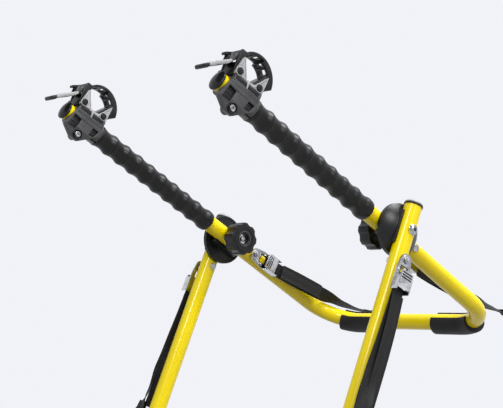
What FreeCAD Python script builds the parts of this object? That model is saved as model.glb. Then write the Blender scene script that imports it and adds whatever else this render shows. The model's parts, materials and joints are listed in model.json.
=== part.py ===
# A strap-on bicycle carrier for a car's tailgate, as a parametric document in millimetres.
# Origin: the middle of the hinge axis that joins the upper and lower frames.
# X runs along the hinge towards the right-hand side, Y towards the car, Z up.
#
# Each piece is drawn in the frame of the tube that carries it, where z runs up the straight tube,
# y is square to the frame's plane and x stays the world's. A piece is then turned about X and
# shifted along X to its place. Its twin on the other side is its mirror image, or for the bike clamps
# the same piece again.
import FreeCAD, Part
import math
import os
import re

from FreeCAD import Placement, Rotation, Vector

SIZES = {
    # Tubes and frames
    "tube_radius": 14.0,
    "tube_wall": 2.0,
    "frame_width": 381.0,
    "arm_length": 397.0,
    "front_length": 293.0,
    "bend_radius": 72.0,
    "arm_rise": 29.6,
    "leg_lean_angle": 24.2,
    "leg_offset": 35.5,
    "leg_length": 480.0,
    "leg_top": 40.0,
    "fit_gap": 0.3,
    # Arm sleeves and end caps
    "sleeve_start": 58.0,
    "sleeve_first_crest": 69.0,
    "sleeve_valley": 15.3,
    "sleeve_crest": 17.8,
    "bulge_pitch": 28.6,
    "bulge_count": 9,
    "cap_radius": 15.2,
    "cap_rim": 3.0,
    "cap_dome": 4.0,
    "cap_plug": 14.0,
    # Hub
    "hub_radius": 42.0,
    "plate_thickness": 3.4,
    "plate_gap": 0.5,
    "saddle_half_width": 19.0,
    "saddle_half_length": 27.0,
    "dome_rim": 3.0,
    "pivot_bolt_radius": 4.0,
    "bolt_clearance": 0.1,
    "pivot_head_radius": 9.0,
    "pivot_head_height": 4.6,
    "washer_radius": 13.0,
    "washer_seat": 3.4,
    "knob_radius": 28.5,
    "knob_thickness": 22.0,
    "knob_lobes": 8,
    "knob_scallop_radius": 12.0,
    "knob_scallop_depth": 2.6,
    "knob_recess_radius": 10.0,
    "knob_recess_depth": 8.0,
    "nut_across_flats": 13.0,
    "nut_thickness": 6.5,
    # Rest pads
    "pad_radius": 19.0,
    "pad_offset": 2.5,
    "pad_slot": 19.0,
    "pad_start": 64.0,
    "pad_bend_angle": 30.0,
    "pad_turn_angle": 52.0,
    # Bike clamp: places along the arm are insets from the clamp's own ends
    "clamp_inset": 69.0,
    "clamp_length": 61.0,
    "clamp_radius": 17.6,
    "block_half_width": 20.0,
    "block_height": 17.5,
    "block_depth": 13.5,
    "block_inset": 6.0,
    "cheek_foot": 37.0,
    "cheek_overhang": 9.5,
    "cheek_crown_radius": 220.0,
    "window_depth": 4.0,
    "lug_inset": 40.0,
    "lug_drop": 28.0,
    "lug_radius": 8.0,
    "lug_thickness": 6.2,
    "pinch_gap": 3.0,
    "clamp_bolt_radius": 3.0,
    "clamp_bolt_head": 4.8,
    "clamp_recess_radius": 8.0,
    "clamp_recess_depth": 5.0,
    "ear_thickness": 4.5,
    "ear_half_width": 20.0,
    "ear_base": 2.0,
    "jaw_pin_radius": 3.0,
    "jaw_pin_head": 5.2,
    "pin_height": 23.5,
    "tip_pin_inset": 4.5,
    "hub_pin_inset": 15.5,
    "vee_inset": 34.0,
    "vee_height": 20.3,
    "ear_height": 48.5,
    "strip_length": 20.5,
    "strip_height": 5.4,
    # Ladder strap and ratchet
    "arch_back": 8.0,
    "arch_height": 36.0,
    "arch_radius": 34.5,
    "strap_first_angle": 18.0,
    "strap_sweep_angle": 157.0,
    "lining_first_angle": 98.0,
    "lining_sweep_angle": 62.0,
    "strap_thickness": 4.0,
    "strap_half_width": 12.0,
    "strap_lining": 4.6,
    "strap_window": 7.5,
    "cheek_thickness": 2.5,
    "lever_ahead": 5.5,
    "lever_height": 54.0,
    "lever_reach": 55.0,
    "lever_pin_radius": 1.6,
    "lever_thickness": 4.2,
    "lever_half_width": 11.6,
    "tab_ahead": 9.0,
    "tab_drop": 7.5,
    "tab_half_width": 4.8,
    # Webbing buckles, bolts, hooks
    "strap_bolt_distance": 52.0,
    "strap_bolt_radius": 3.0,
    "strap_bolt_head": 6.0,
    "strap_head_height": 2.3,
    "spacer_height": 3.0,
    "buckle_plate": 2.0,
    "buckle_length": 52.0,
    "buckle_half_width": 14.8,
    "cheek_height": 11.0,
    "cam_along": 43.0,
    "cam_height": 7.0,
    "cam_radius": 4.4,
    "cam_pin_radius": 1.8,
    "webbing_width": 25.0,
    "webbing_thickness": 1.5,
    "hook_bar_radius": 2.5,
    "hook_plate": 2.5,
    "hook_mouth": 9.0,
    "hook_length": 34.0,
    "fold_length": 42.0,
}

doc = FreeCAD.newDocument("bike_carrier")
sheet = doc.addObject("Spreadsheet::Sheet", "sizes")
for row, (alias, value) in enumerate(SIZES.items(), start=1):
    sheet.set(f"A{row}", alias)
    sheet.set(f"B{row}", str(value))
    sheet.setAlias(f"B{row}", alias)
doc.recompute()

WORD = re.compile(r"[a-z][a-z_]*")
UPPER = "90 - arm_rise"
LOWER = "-leg_lean_angle"
ARM_SHIFT = "frame_width / 2"
LEG_SHIFT = "frame_width / 2 + leg_offset"
CLAMP_START = "(arm_length - clamp_inset)"
CLAMP_END = f"({CLAMP_START} + clamp_length)"
TIP_PIN = f"({CLAMP_START} + clamp_length - tip_pin_inset)"
HUB_PIN = f"({CLAMP_START} + hub_pin_inset)"
VEE = f"({CLAMP_START} + vee_inset)"
ARCH = f"({CLAMP_START} + vee_inset - arch_back)"
LUG = f"({CLAMP_START} + lug_inset)"
LEVER = f"({CLAMP_START} + clamp_length - tip_pin_inset + lever_ahead)"
TAB = f"({CLAMP_START} + clamp_length - tip_pin_inset + lever_ahead + tab_ahead)"
TAB_HEIGHT = "(lever_height - tab_drop)"
pieces = {}


def bound(text):
    """Writes the sheet's name before each size that the expression uses."""
    return WORD.sub(lambda word: "sizes." + word.group() if word.group() in SIZES else word.group(), text)


def number(text):
    """The value of an expression over the sheet's sizes."""
    return float(sheet.evalExpression(bound(str(text))))


def tie(obj, name, text):
    """Binds one property of an object to an expression over the sheet's sizes."""
    obj.setExpression(name, bound(str(text)))


def locate(obj, at):
    """Binds an object's place to three expressions."""
    for axis, text in zip("xyz", at):
        tie(obj, f"Placement.Base.{axis}", text)


def cylinder(name, radius, height, at=("0", "0", "0"), along="z", angle="360"):
    """A cylinder from a point, along X, Y or Z."""
    obj = doc.addObject("Part::Cylinder", name)
    tie(obj, "Radius", radius)
    tie(obj, "Height", height)
    tie(obj, "Angle", angle)
    turns = {"x": (Vector(0, 1, 0), 90), "y": (Vector(1, 0, 0), -90), "z": (Vector(0, 0, 1), 0)}
    obj.Placement = Placement(Vector(), Rotation(*turns[along]))
    locate(obj, at)
    return obj


def box(name, length, width, height, at):
    """A box from its low corner."""
    obj = doc.addObject("Part::Box", name)
    tie(obj, "Length", length)
    tie(obj, "Width", width)
    tie(obj, "Height", height)
    locate(obj, at)
    return obj


def fuse(name, *parts):
    """One solid from several that meet."""
    obj = doc.addObject("Part::MultiFuse", name)
    obj.Shapes = list(parts)
    obj.Refine = True
    return obj


def cut(name, base, *tools):
    """A solid less one or more tools."""
    obj = doc.addObject("Part::Cut", name)
    obj.Base = base
    obj.Tool = tools[0] if len(tools) == 1 else fuse(name + "_tools", *tools)
    obj.Refine = True
    return obj


def common(name, *parts):
    """What several solids share."""
    obj = doc.addObject("Part::MultiCommon", name)
    obj.Shapes = list(parts)
    obj.Refine = True
    return obj


def rounded(points):
    """Edges of a closed outline of (x, y, corner radius) points, each corner rounded by its radius."""
    corners = [(Vector(number(x), number(y), 0), number(r)) for x, y, r in points]
    ends = []
    for index, (corner, radius) in enumerate(corners):
        before = corners[index - 1][0] - corner
        after = corners[(index + 1) % len(corners)][0] - corner
        before.normalize()
        after.normalize()
        if radius <= 0:
            ends.append((corner, corner, corner))
            continue
        half = before.getAngle(after) / 2
        reach = radius / math.tan(half)
        middle = before + after
        middle.normalize()
        apex = corner + middle * (radius / math.sin(half) - radius)
        ends.append((corner + before * reach, apex, corner + after * reach))
    edges = []
    for index, (first, apex, last) in enumerate(ends):
        if (first - last).Length > 1e-6:
            edges.append(Part.Arc(first, apex, last))
        following = ends[(index + 1) % len(ends)][0]
        if (following - last).Length > 1e-6:
            edges.append(Part.LineSegment(last, following))
    return edges


def body_sketch(name, plane, geometry, offset="0"):
    """A body with one sketch on one of its own origin planes."""
    body = doc.addObject("PartDesign::Body", name)
    sketch = body.newObject("Sketcher::SketchObject", name + "_sketch")
    side = [feature for feature in body.Origin.OriginFeatures if feature.Role == plane][0]
    sketch.AttachmentSupport = [(side, "")]
    sketch.MapMode = "FlatFace"
    tie(sketch, "AttachmentOffset.Base.z", offset)
    sketch.addGeometry(geometry, False)
    return body, sketch


def plate(name, points, start, thickness):
    """A rounded outline in (y, z), raised along X from a start."""
    body, sketch = body_sketch(name, "YZ_Plane", rounded(points), start)
    pad = body.newObject("PartDesign::Pad", name + "_pad")
    pad.Profile = sketch
    tie(pad, "Length", thickness)
    return body


def turned(name, edges, axis):
    """A profile in the (x, z) plane, turned once about X or Z."""
    body, sketch = body_sketch(name, "XZ_Plane", edges)
    turn = body.newObject("PartDesign::Revolution", name + "_turn")
    turn.Profile = sketch
    turn.ReferenceAxis = (sketch, ["H_Axis" if axis == "x" else "V_Axis"])
    turn.Angle = 360
    return body


def chain(points):
    """Straight edges through (x, z) expressions, closed, in the sketch's own plane."""
    spots = [Vector(number(x), number(z), 0) for x, z in points]
    return [Part.LineSegment(a, b) for a, b in zip(spots, spots[1:] + spots[:1])]


def seat(obj, label, frame, shift="0"):
    """Names a finished piece, turns it into its frame and shifts it along X."""
    obj.Label = label
    if frame:
        obj.Placement = Placement(Vector(), Rotation(Vector(1, 0, 0), number(frame)))
        tie(obj, "Placement.Rotation.Angle", frame)
    tie(obj, "Placement.Base.x", shift)
    pieces[label] = obj
    return obj


def pair(obj, label, frame, shift="0", first="right"):
    """A piece on one side and its mirror image on the other."""
    seat(obj, f"{label}_{first}", frame, shift)
    other = "left" if first == "right" else "right"
    twin = doc.addObject("Part::Mirroring", f"{label}_{other}")
    twin.Source = obj
    twin.Normal = Vector(1, 0, 0)
    twin.Label = f"{label}_{other}"
    pieces[twin.Label] = twin


def twice(obj, label, frame, shift):
    """The same piece on both sides."""
    seat(obj, f"{label}_right", frame, shift)
    twin = doc.addObject("Part::Compound", f"{label}_left")
    twin.Links = [obj]
    tie(twin, "Placement.Base.x", f"-2 * ({shift})")
    twin.Label = f"{label}_left"
    pieces[twin.Label] = twin


def frame_tube(name, half, top, bottom):
    """A U of round tube: two straight sides, two bends and a crossbar, in the plane y = 0."""
    body = doc.addObject("PartDesign::Body", name + "_body")
    planes = {feature.Role: feature for feature in body.Origin.OriginFeatures}
    side, radius, high, low = number(half), number("bend_radius"), number(top), -number(bottom)
    spine = body.newObject("Sketcher::SketchObject", name + "_spine")
    spine.AttachmentSupport = [(planes["XZ_Plane"], "")]
    spine.MapMode = "FlatFace"
    slant = radius * (1 - math.sqrt(0.5))
    spine.addGeometry([
        Part.LineSegment(Vector(side, high, 0), Vector(side, low + radius, 0)),
        Part.Arc(Vector(side, low + radius, 0), Vector(side - slant, low + slant, 0), Vector(side - radius, low, 0)),
        Part.LineSegment(Vector(side - radius, low, 0), Vector(radius - side, low, 0)),
        Part.Arc(Vector(radius - side, low, 0), Vector(slant - side, low + slant, 0), Vector(-side, low + radius, 0)),
        Part.LineSegment(Vector(-side, low + radius, 0), Vector(-side, high, 0)),
    ], False)
    section = body.newObject("Sketcher::SketchObject", name + "_section")
    section.AttachmentSupport = [(planes["XY_Plane"], "")]
    section.MapMode = "FlatFace"
    tie(section, "AttachmentOffset.Base.z", top)
    centre = Vector(side, 0, 0)
    section.addGeometry([
        Part.Circle(centre, Vector(0, 0, 1), number("tube_radius")),
        Part.Circle(centre, Vector(0, 0, 1), number("tube_radius - tube_wall")),
    ], False)
    pipe = body.newObject("PartDesign::AdditivePipe", name + "_pipe")
    pipe.Profile = section
    pipe.Spine = (spine, [f"Edge{index}" for index in range(1, 6)])
    return body


def cross_hole(name, radius, z, half):
    """A drill along X through both sides of a frame."""
    return cylinder(name, radius, f"2 * ({half}) + 80", (f"-({half}) - 40", "0", z), "x")


def build_frames():
    """The two bent tubes with their bolt holes."""
    hole = "pivot_bolt_radius + bolt_clearance"
    small = "strap_bolt_radius + bolt_clearance"
    upper = frame_tube("upper_frame", ARM_SHIFT, "arm_length", "front_length")
    drilled = cut(
        "upper_frame_drilled", upper,
        cross_hole("upper_pivot_hole", hole, "0", ARM_SHIFT),
        cross_hole("upper_strap_hole", small, "-strap_bolt_distance", ARM_SHIFT),
    )
    seat(drilled, "upper_frame_tube", UPPER)
    lower = frame_tube("lower_frame", LEG_SHIFT, "leg_top", "leg_length")
    drilled = cut(
        "lower_frame_drilled", lower,
        cross_hole("lower_pivot_hole", hole, "0", LEG_SHIFT),
        cross_hole("lower_strap_hole", small, "-strap_bolt_distance", LEG_SHIFT),
    )
    seat(drilled, "lower_frame_tube", LOWER)


# One bulge of a sleeve: how far along it and how much of its swell, from its crest towards the arm's tip.
BULGE = [(0.0, 1.0), (0.14, 0.66), (0.3, 0.12), (0.45, 0.0), (0.62, 0.13), (0.85, 0.62)]


def sleeve_profile():
    """The half section of an arm sleeve: a bore, a rounded hub end, and bulges that swell towards the hub."""
    start, first, pitch = number("sleeve_start"), number("sleeve_first_crest"), number("bulge_pitch")
    valley, crest = number("sleeve_valley"), number("sleeve_crest")
    end = number(f"{CLAMP_START} - 2 * fit_gap")
    points = [(number("tube_radius + fit_gap"), start), (number("sleeve_valley - 0.6"), start)]
    points += [((valley + crest) / 2, start + 2), (crest - 0.3, start + 7)]
    for turn in range(int(number("bulge_count"))):
        for share, swell in BULGE:
            z = first + (turn + share) * pitch
            if z < end - 3:
                points.append((valley + (crest - valley) * swell, z))
    points += [(crest, end - 1.2), (valley + 1, end), (number("tube_radius + fit_gap"), end)]
    return points


def build_arm_covers():
    """Ribbed sleeves on the arms, and domed caps in the open ends of all four tubes."""
    pair(turned("sleeve", chain(sleeve_profile()), "z"), "arm_sleeve", UPPER, ARM_SHIFT)
    for name, top, frame, shift in (("arm_end_cap", "arm_length", UPPER, ARM_SHIFT), ("leg_end_cap", "leg_top", LOWER, LEG_SHIFT)):
        rim = number("cap_radius")
        base, edge, crown = number(top), number(f"{top} + cap_rim"), number(f"{top} + cap_rim + cap_dome")
        plug, foot = number("tube_radius - tube_wall - fit_gap"), number(f"{top} - cap_plug")
        sphere = (rim ** 2 + (crown - edge) ** 2) / (2 * (crown - edge))
        half = rim / 2
        middle = Vector(half, crown - sphere + math.sqrt(sphere ** 2 - half ** 2), 0)
        edges = [
            Part.LineSegment(Vector(0, foot, 0), Vector(plug, foot, 0)),
            Part.LineSegment(Vector(plug, foot, 0), Vector(plug, base, 0)),
            Part.LineSegment(Vector(plug, base, 0), Vector(rim, base, 0)),
            Part.LineSegment(Vector(rim, base, 0), Vector(rim, edge, 0)),
            Part.Arc(Vector(rim, edge, 0), middle, Vector(0, crown, 0)),
            Part.LineSegment(Vector(0, crown, 0), Vector(0, foot, 0)),
        ]
        pair(turned(name + "_turned", edges, "z"), name, frame, shift)


def build_hubs():
    """Per side: a plate saddled on the arm, a dome saddled on the leg, the pivot bolt, washer, knob and nut."""
    grip = "tube_radius + fit_gap"
    shaft = "pivot_bolt_radius + bolt_clearance"
    plate_disc = cylinder("plate_disc", "hub_radius", "plate_thickness", (grip, "0", "0"), "x")
    shoulder = box(
        "plate_shoulder", "tube_radius", "2 * saddle_half_width", "2 * saddle_half_length",
        ("fit_gap", "-saddle_half_width", "-saddle_half_length"),
    )
    arm_bore = cylinder("plate_bore", grip, "3 * hub_radius", ("0", "0", "-1.5 * hub_radius"))
    bolt_bore = cylinder("plate_bolt_bore", shaft, "3 * tube_radius", ("0", "0", "0"), "x")
    hub_plate = cut("hub_plate", fuse("hub_plate_blank", plate_disc, shoulder), arm_bore, bolt_bore)
    pair(hub_plate, "frame_hub_plate", UPPER, ARM_SHIFT)

    # The dome is drawn about the leg's own axis, so its flat face lies on the inner side at negative x.
    face = number("tube_radius + fit_gap + plate_thickness + plate_gap - leg_offset")
    rim, brim = number("hub_radius"), number("dome_rim")
    sphere = (rim ** 2 + (face + brim) ** 2) / (-2 * (face + brim))
    middle = Vector(-sphere + math.sqrt(sphere ** 2 - rim ** 2 / 4), rim / 2, 0)
    dome = turned("dome_turned", [
        Part.LineSegment(Vector(face, 0, 0), Vector(face, rim, 0)),
        Part.LineSegment(Vector(face, rim, 0), Vector(face + brim, rim, 0)),
        Part.Arc(Vector(face + brim, rim, 0), middle, Vector(0, 0, 0)),
        Part.LineSegment(Vector(0, 0, 0), Vector(face, 0, 0)),
    ], "x")
    lips = box(
        "dome_lips", "leg_offset - tube_radius - fit_gap - plate_thickness - plate_gap", "2 * saddle_half_width",
        "2 * saddle_half_length",
        ("tube_radius + fit_gap + plate_thickness + plate_gap - leg_offset", "-saddle_half_width", "-saddle_half_length"),
    )
    leg_bore = cylinder("dome_bore", grip, "3 * hub_radius", ("0", "0", "-1.5 * hub_radius"))
    dome_bolt = cylinder("dome_bolt_bore", shaft, "4 * tube_radius", ("-3 * tube_radius", "0", "0"), "x")
    cap_room = cylinder("dome_cap_room", "cap_radius + fit_gap", "hub_radius", ("0", "0", "leg_top - fit_gap"))
    hub_dome = cut("hub_dome", fuse("hub_dome_blank", dome, lips), leg_bore, dome_bolt, cap_room)
    pair(hub_dome, "leg_hub_dome", LOWER, LEG_SHIFT)

    # The washer and knob are drawn about the arm's axis, on its inner side.
    seat_face = "tube_radius + washer_seat"
    washer = cut(
        "saddle_washer",
        cylinder("washer_disc", "washer_radius", "washer_seat + tube_radius / 2", (f"-({seat_face})", "0", "0"), "x"),
        cylinder("washer_arm", grip, "3 * hub_radius", ("0", "0", "-1.5 * hub_radius")),
        cylinder("washer_bore", shaft, "3 * tube_radius", ("-3 * tube_radius", "0", "0"), "x"),
    )
    pair(washer, "knob_washer", UPPER, ARM_SHIFT)

    outer = f"{seat_face} + fit_gap"
    disc = cylinder("knob_disc", "knob_radius", "knob_thickness", (f"-({outer}) - knob_thickness", "0", "0"), "x")
    tools = [
        cylinder("knob_bore", shaft, "3 * knob_thickness", (f"-({outer}) - 2 * knob_thickness", "0", "0"), "x"),
        cylinder(
            "knob_recess", "knob_recess_radius", "knob_recess_depth + knob_thickness",
            (f"-({outer}) - 2 * knob_thickness", "0", "0"), "x",
        ),
        cylinder(
            "knob_nut_pocket", "nut_across_flats / 1.732 + fit_gap", "nut_thickness + 2 * fit_gap",
            (f"-({outer}) - knob_thickness + knob_recess_depth", "0", "0"), "x",
        ),
    ]
    lobes = int(number("knob_lobes"))
    reach = "knob_radius + knob_scallop_radius - knob_scallop_depth"
    for index in range(lobes):
        turn = 360 * index / lobes
        tools.append(cylinder(
            f"knob_scallop_{index}", "knob_scallop_radius", "3 * knob_thickness",
            (f"-({outer}) - 2 * knob_thickness", f"({reach}) * cos({turn})", f"({reach}) * sin({turn})"), "x",
        ))
    pair(cut("knob_cut", disc, *tools), "hub_knob", UPPER, ARM_SHIFT)

    nut = doc.addObject("Part::Prism", "knob_nut_prism")
    nut.Polygon = 6
    tie(nut, "Circumradius", "nut_across_flats / 1.732")
    tie(nut, "Height", "nut_thickness")
    nut.Placement = Placement(Vector(), Rotation(Vector(0, 1, 0), 90))
    locate(nut, (f"-({outer}) - knob_thickness + knob_recess_depth + fit_gap", "0", "0"))
    thread = cylinder(
        "knob_nut_bore", "pivot_bolt_radius + 0.05", "4 * nut_thickness",
        (f"-({outer}) - knob_thickness - nut_thickness", "0", "0"), "x",
    )
    pair(cut("knob_nut_cut", nut, thread), "knob_nut", UPPER, ARM_SHIFT)

    # The bolt is drawn about the leg's axis: a domed head outside the leg, a shank through to the knob's recess.
    head = number("tube_radius + 0.1")
    height, wide, shank = number("pivot_head_height"), number("pivot_head_radius"), number("pivot_bolt_radius")
    tip = -number(f"leg_offset + {outer} + knob_thickness - 3")
    round_off = (wide ** 2 + height ** 2) / (2 * height)
    bulge = Vector(head + height - round_off + math.sqrt(round_off ** 2 - wide ** 2 / 4), wide / 2, 0)
    bolt = turned("pivot_bolt_turned", [
        Part.LineSegment(Vector(tip, 0, 0), Vector(tip, shank - 0.8, 0)),
        Part.LineSegment(Vector(tip, shank - 0.8, 0), Vector(tip + 0.8, shank, 0)),
        Part.LineSegment(Vector(tip + 0.8, shank, 0), Vector(head, shank, 0)),
        Part.LineSegment(Vector(head, shank, 0), Vector(head, wide, 0)),
        Part.Arc(Vector(head, wide, 0), bulge, Vector(head + height, 0, 0)),
        Part.LineSegment(Vector(head + height, 0, 0), Vector(tip, 0, 0)),
    ], "x")
    pair(bolt, "pivot_bolt", LOWER, LEG_SHIFT)


def pad_solid(half, drop, way):
    """A split rubber pad along the crossbar and the start of its bend, with its open side towards way * y."""
    grip, outer, offset = number("tube_radius + fit_gap"), number("pad_radius"), number("pad_offset")
    gap = number("pad_slot") / 2
    bend, sweep = number("bend_radius"), math.radians(number("pad_bend_angle"))
    side, low, start = number(half), -number(drop), number("pad_start")
    turn_x, turn_z = side - bend, low + bend
    halfway = sweep / 2
    path = Part.Wire([
        Part.LineSegment(Vector(start, 0, low), Vector(turn_x, 0, low)).toShape(),
        Part.Arc(
            Vector(turn_x, 0, low),
            Vector(turn_x + bend * math.sin(halfway), 0, turn_z - bend * math.cos(halfway)),
            Vector(turn_x + bend * math.sin(sweep), 0, turn_z - bend * math.cos(sweep)),
        ).toShape(),
    ])
    inner_reach = math.sqrt(grip ** 2 - gap ** 2)
    outer_reach = math.sqrt(outer ** 2 - gap ** 2) - offset
    spots = {
        "inner_a": (gap, inner_reach), "inner_low": (0, -grip), "inner_b": (-gap, inner_reach),
        "outer_a": (gap, outer_reach), "outer_low": (0, -outer - offset), "outer_b": (-gap, outer_reach),
    }
    # The pad's open side points towards the inside of the frame and a little up.
    turn = math.radians(number("pad_turn_angle"))
    place = {}
    for name, (across, up) in spots.items():
        y = way * (up * math.cos(turn) - across * math.sin(turn))
        z = up * math.sin(turn) + across * math.cos(turn)
        place[name] = Vector(start, y, low + z)
    section = Part.Wire([
        Part.Arc(place["inner_a"], place["inner_low"], place["inner_b"]).toShape(),
        Part.LineSegment(place["inner_b"], place["outer_b"]).toShape(),
        Part.Arc(place["outer_b"], place["outer_low"], place["outer_a"]).toShape(),
        Part.LineSegment(place["outer_a"], place["inner_a"]).toShape(),
    ])
    return path.makePipeShell([section], True, False)


def shape_feature(name, shape):
    """A feature that holds a shape made here."""
    obj = doc.addObject("Part::Feature", name)
    obj.Shape = shape
    return obj


def build_pads():
    """Rest pads at both ends of both crossbars."""
    pair(shape_feature("upper_pad", pad_solid(ARM_SHIFT, "front_length", 1)), "upper_pad", UPPER)
    pair(shape_feature("lower_pad", pad_solid(LEG_SHIFT, "leg_length", -1)), "lower_pad", LOWER)


def arc_band(name, inner, outer, half_width, first, sweep):
    """Part of a ring about the strap's arch centre, from an angle above the arm's tip direction."""
    solids = []
    for part, radius, extra in (("outer", outer, "0"), ("inner", inner, "1")):
        obj = doc.addObject("Part::Cylinder", f"{name}_{part}")
        tie(obj, "Radius", radius)
        tie(obj, "Height", f"2 * ({half_width}) + 2 * {extra}")
        obj.Angle = number(sweep) if part == "outer" else 360
        obj.Placement = Placement(
            Vector(), Rotation(Vector(-1, 0, 0), number(first)).multiply(Rotation(Vector(0, 1, 0), -90)),
        )
        locate(obj, (f"{half_width} + {extra}", "arch_height", ARCH))
        solids.append(obj)
    return cut(name, *solids)


def build_clamps():
    """Bike clamps on the arm tips: body, bracket, pins, rubber, ladder strap, ratchet, lever and tab."""
    build_clamp_body()
    build_cradle()
    build_ladder_strap()
    build_ratchet()


def build_clamp_body():
    """A split barrel on the arm with a block on top and a deep cheek on its outer side, and its pinch bolt."""
    barrel = cylinder("clamp_barrel", "clamp_radius", "clamp_length", ("0", "0", CLAMP_START))
    block = box(
        "clamp_block", "2 * block_half_width", "block_depth", "clamp_length - block_inset - 2",
        ("-block_half_width", "block_height - block_depth", f"{CLAMP_START} + block_inset"),
    )
    cheek = plate("clamp_cheek", [
        ("block_height", f"{CLAMP_END} - 2", "1"), ("-0.65 * cheek_foot", f"{CLAMP_END} + cheek_overhang", "6"),
        ("-cheek_foot", f"{LUG} + 10", "10"), ("-cheek_foot", f"{LUG} - 6", "8"),
        ("-0.3 * cheek_foot", f"{CLAMP_START} + block_inset", "6"), ("block_height", f"{CLAMP_START} + block_inset", "1"),
    ], "lug_thickness + pinch_gap", "block_half_width - lug_thickness - pinch_gap")
    crown = cylinder(
        "clamp_crown", "cheek_crown_radius", "3 * clamp_length",
        ("block_half_width - cheek_crown_radius", "block_height / 2", f"{CLAMP_START} - clamp_length"),
    )
    lug = fuse(
        "clamp_lug",
        cylinder("clamp_lug_end", "lug_radius", "lug_thickness", ("0", "-lug_drop", LUG), "x"),
        box("clamp_lug_web", "lug_thickness", "lug_drop", "2 * lug_radius", ("0", "-lug_drop", f"{LUG} - lug_radius")),
    )
    bore = cylinder("clamp_bore", "tube_radius + fit_gap", "3 * clamp_length", ("0", "0", f"{CLAMP_START} - clamp_length"))
    slit = box(
        "clamp_slit", "pinch_gap", "2 * lug_drop", "3 * clamp_length",
        ("lug_thickness", "-2 * lug_drop - tube_radius / 2", f"{CLAMP_START} - clamp_length"),
    )
    bolt_bore = cylinder(
        "clamp_bolt_bore", "clamp_bolt_radius + bolt_clearance", "4 * block_half_width",
        ("-2 * block_half_width", "-lug_drop", LUG), "x",
    )
    recess = cylinder(
        "clamp_bolt_recess", "clamp_recess_radius", "2 * clamp_recess_depth",
        ("block_half_width - clamp_recess_depth", "-lug_drop", LUG), "x",
    )
    pocket = "block_half_width - window_depth"
    tip_window = plate("clamp_window_tip", [
        ("-0.07 * cheek_foot", f"{CLAMP_END} + 0.5", "1"), ("-0.66 * cheek_foot", f"{CLAMP_END} + 4.6", "1"),
        ("-0.62 * cheek_foot", f"{CLAMP_END} - 11.8", "1"), ("-0.11 * cheek_foot", f"{CLAMP_END} - 14.5", "1"),
    ], pocket, "2 * window_depth")
    hub_window = plate("clamp_window_hub", [
        ("-0.09 * cheek_foot", f"{CLAMP_START} + 21.5", "1"), ("-0.48 * cheek_foot", f"{CLAMP_START} + 24", "1"),
        ("-0.44 * cheek_foot", f"{CLAMP_START} + 13.5", "1"), ("-0.09 * cheek_foot", f"{CLAMP_START} + 9", "1"),
    ], pocket, "2 * window_depth")
    tools = [bore, slit, bolt_bore, recess, tip_window, hub_window]
    for side, name in ((1, "near"), (-1, "far")):
        strip_x = "block_half_width - 4" if side > 0 else "-block_half_width - 4"
        for where, z in (("tip", f"{VEE} + 2.5"), ("hub", f"{VEE} - 2.5 - strip_length")):
            tools.append(box(
                f"clamp_strip_{where}_{name}", "8", "strip_height + 2 * fit_gap", "strip_length + 2 * fit_gap",
                (strip_x, "block_height - strip_height - 1.2", z),
            ))
    whole = fuse("clamp_blank", barrel, block, common("clamp_cheek_crowned", cheek, crown), lug)
    twice(cut("clamp_body_cut", whole, *tools), "clamp_body", UPPER, ARM_SHIFT)

    # Pinch bolt with its head in the cheek's recess and its nut against the lug.
    under_head = "block_half_width - clamp_recess_depth + fit_gap"
    clamp_bolt = fuse(
        "clamp_bolt_fused",
        cylinder("clamp_bolt_shank", "clamp_bolt_radius", f"{under_head} + 4", ("-4", "-lug_drop", LUG), "x"),
        cylinder("clamp_bolt_cap", "clamp_bolt_head", "3.4", (under_head, "-lug_drop", LUG), "x"),
        cylinder("clamp_bolt_nut", "clamp_bolt_head + 0.4", "3.2", ("-fit_gap - 3.2", "-lug_drop", LUG), "x"),
    )
    socket = cylinder("clamp_bolt_socket", "2.2", "4", (f"{under_head} + 1.6", "-lug_drop", LUG), "x")
    twice(cut("clamp_bolt_cut", clamp_bolt, socket), "clamp_bolt", UPPER, ARM_SHIFT)


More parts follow.
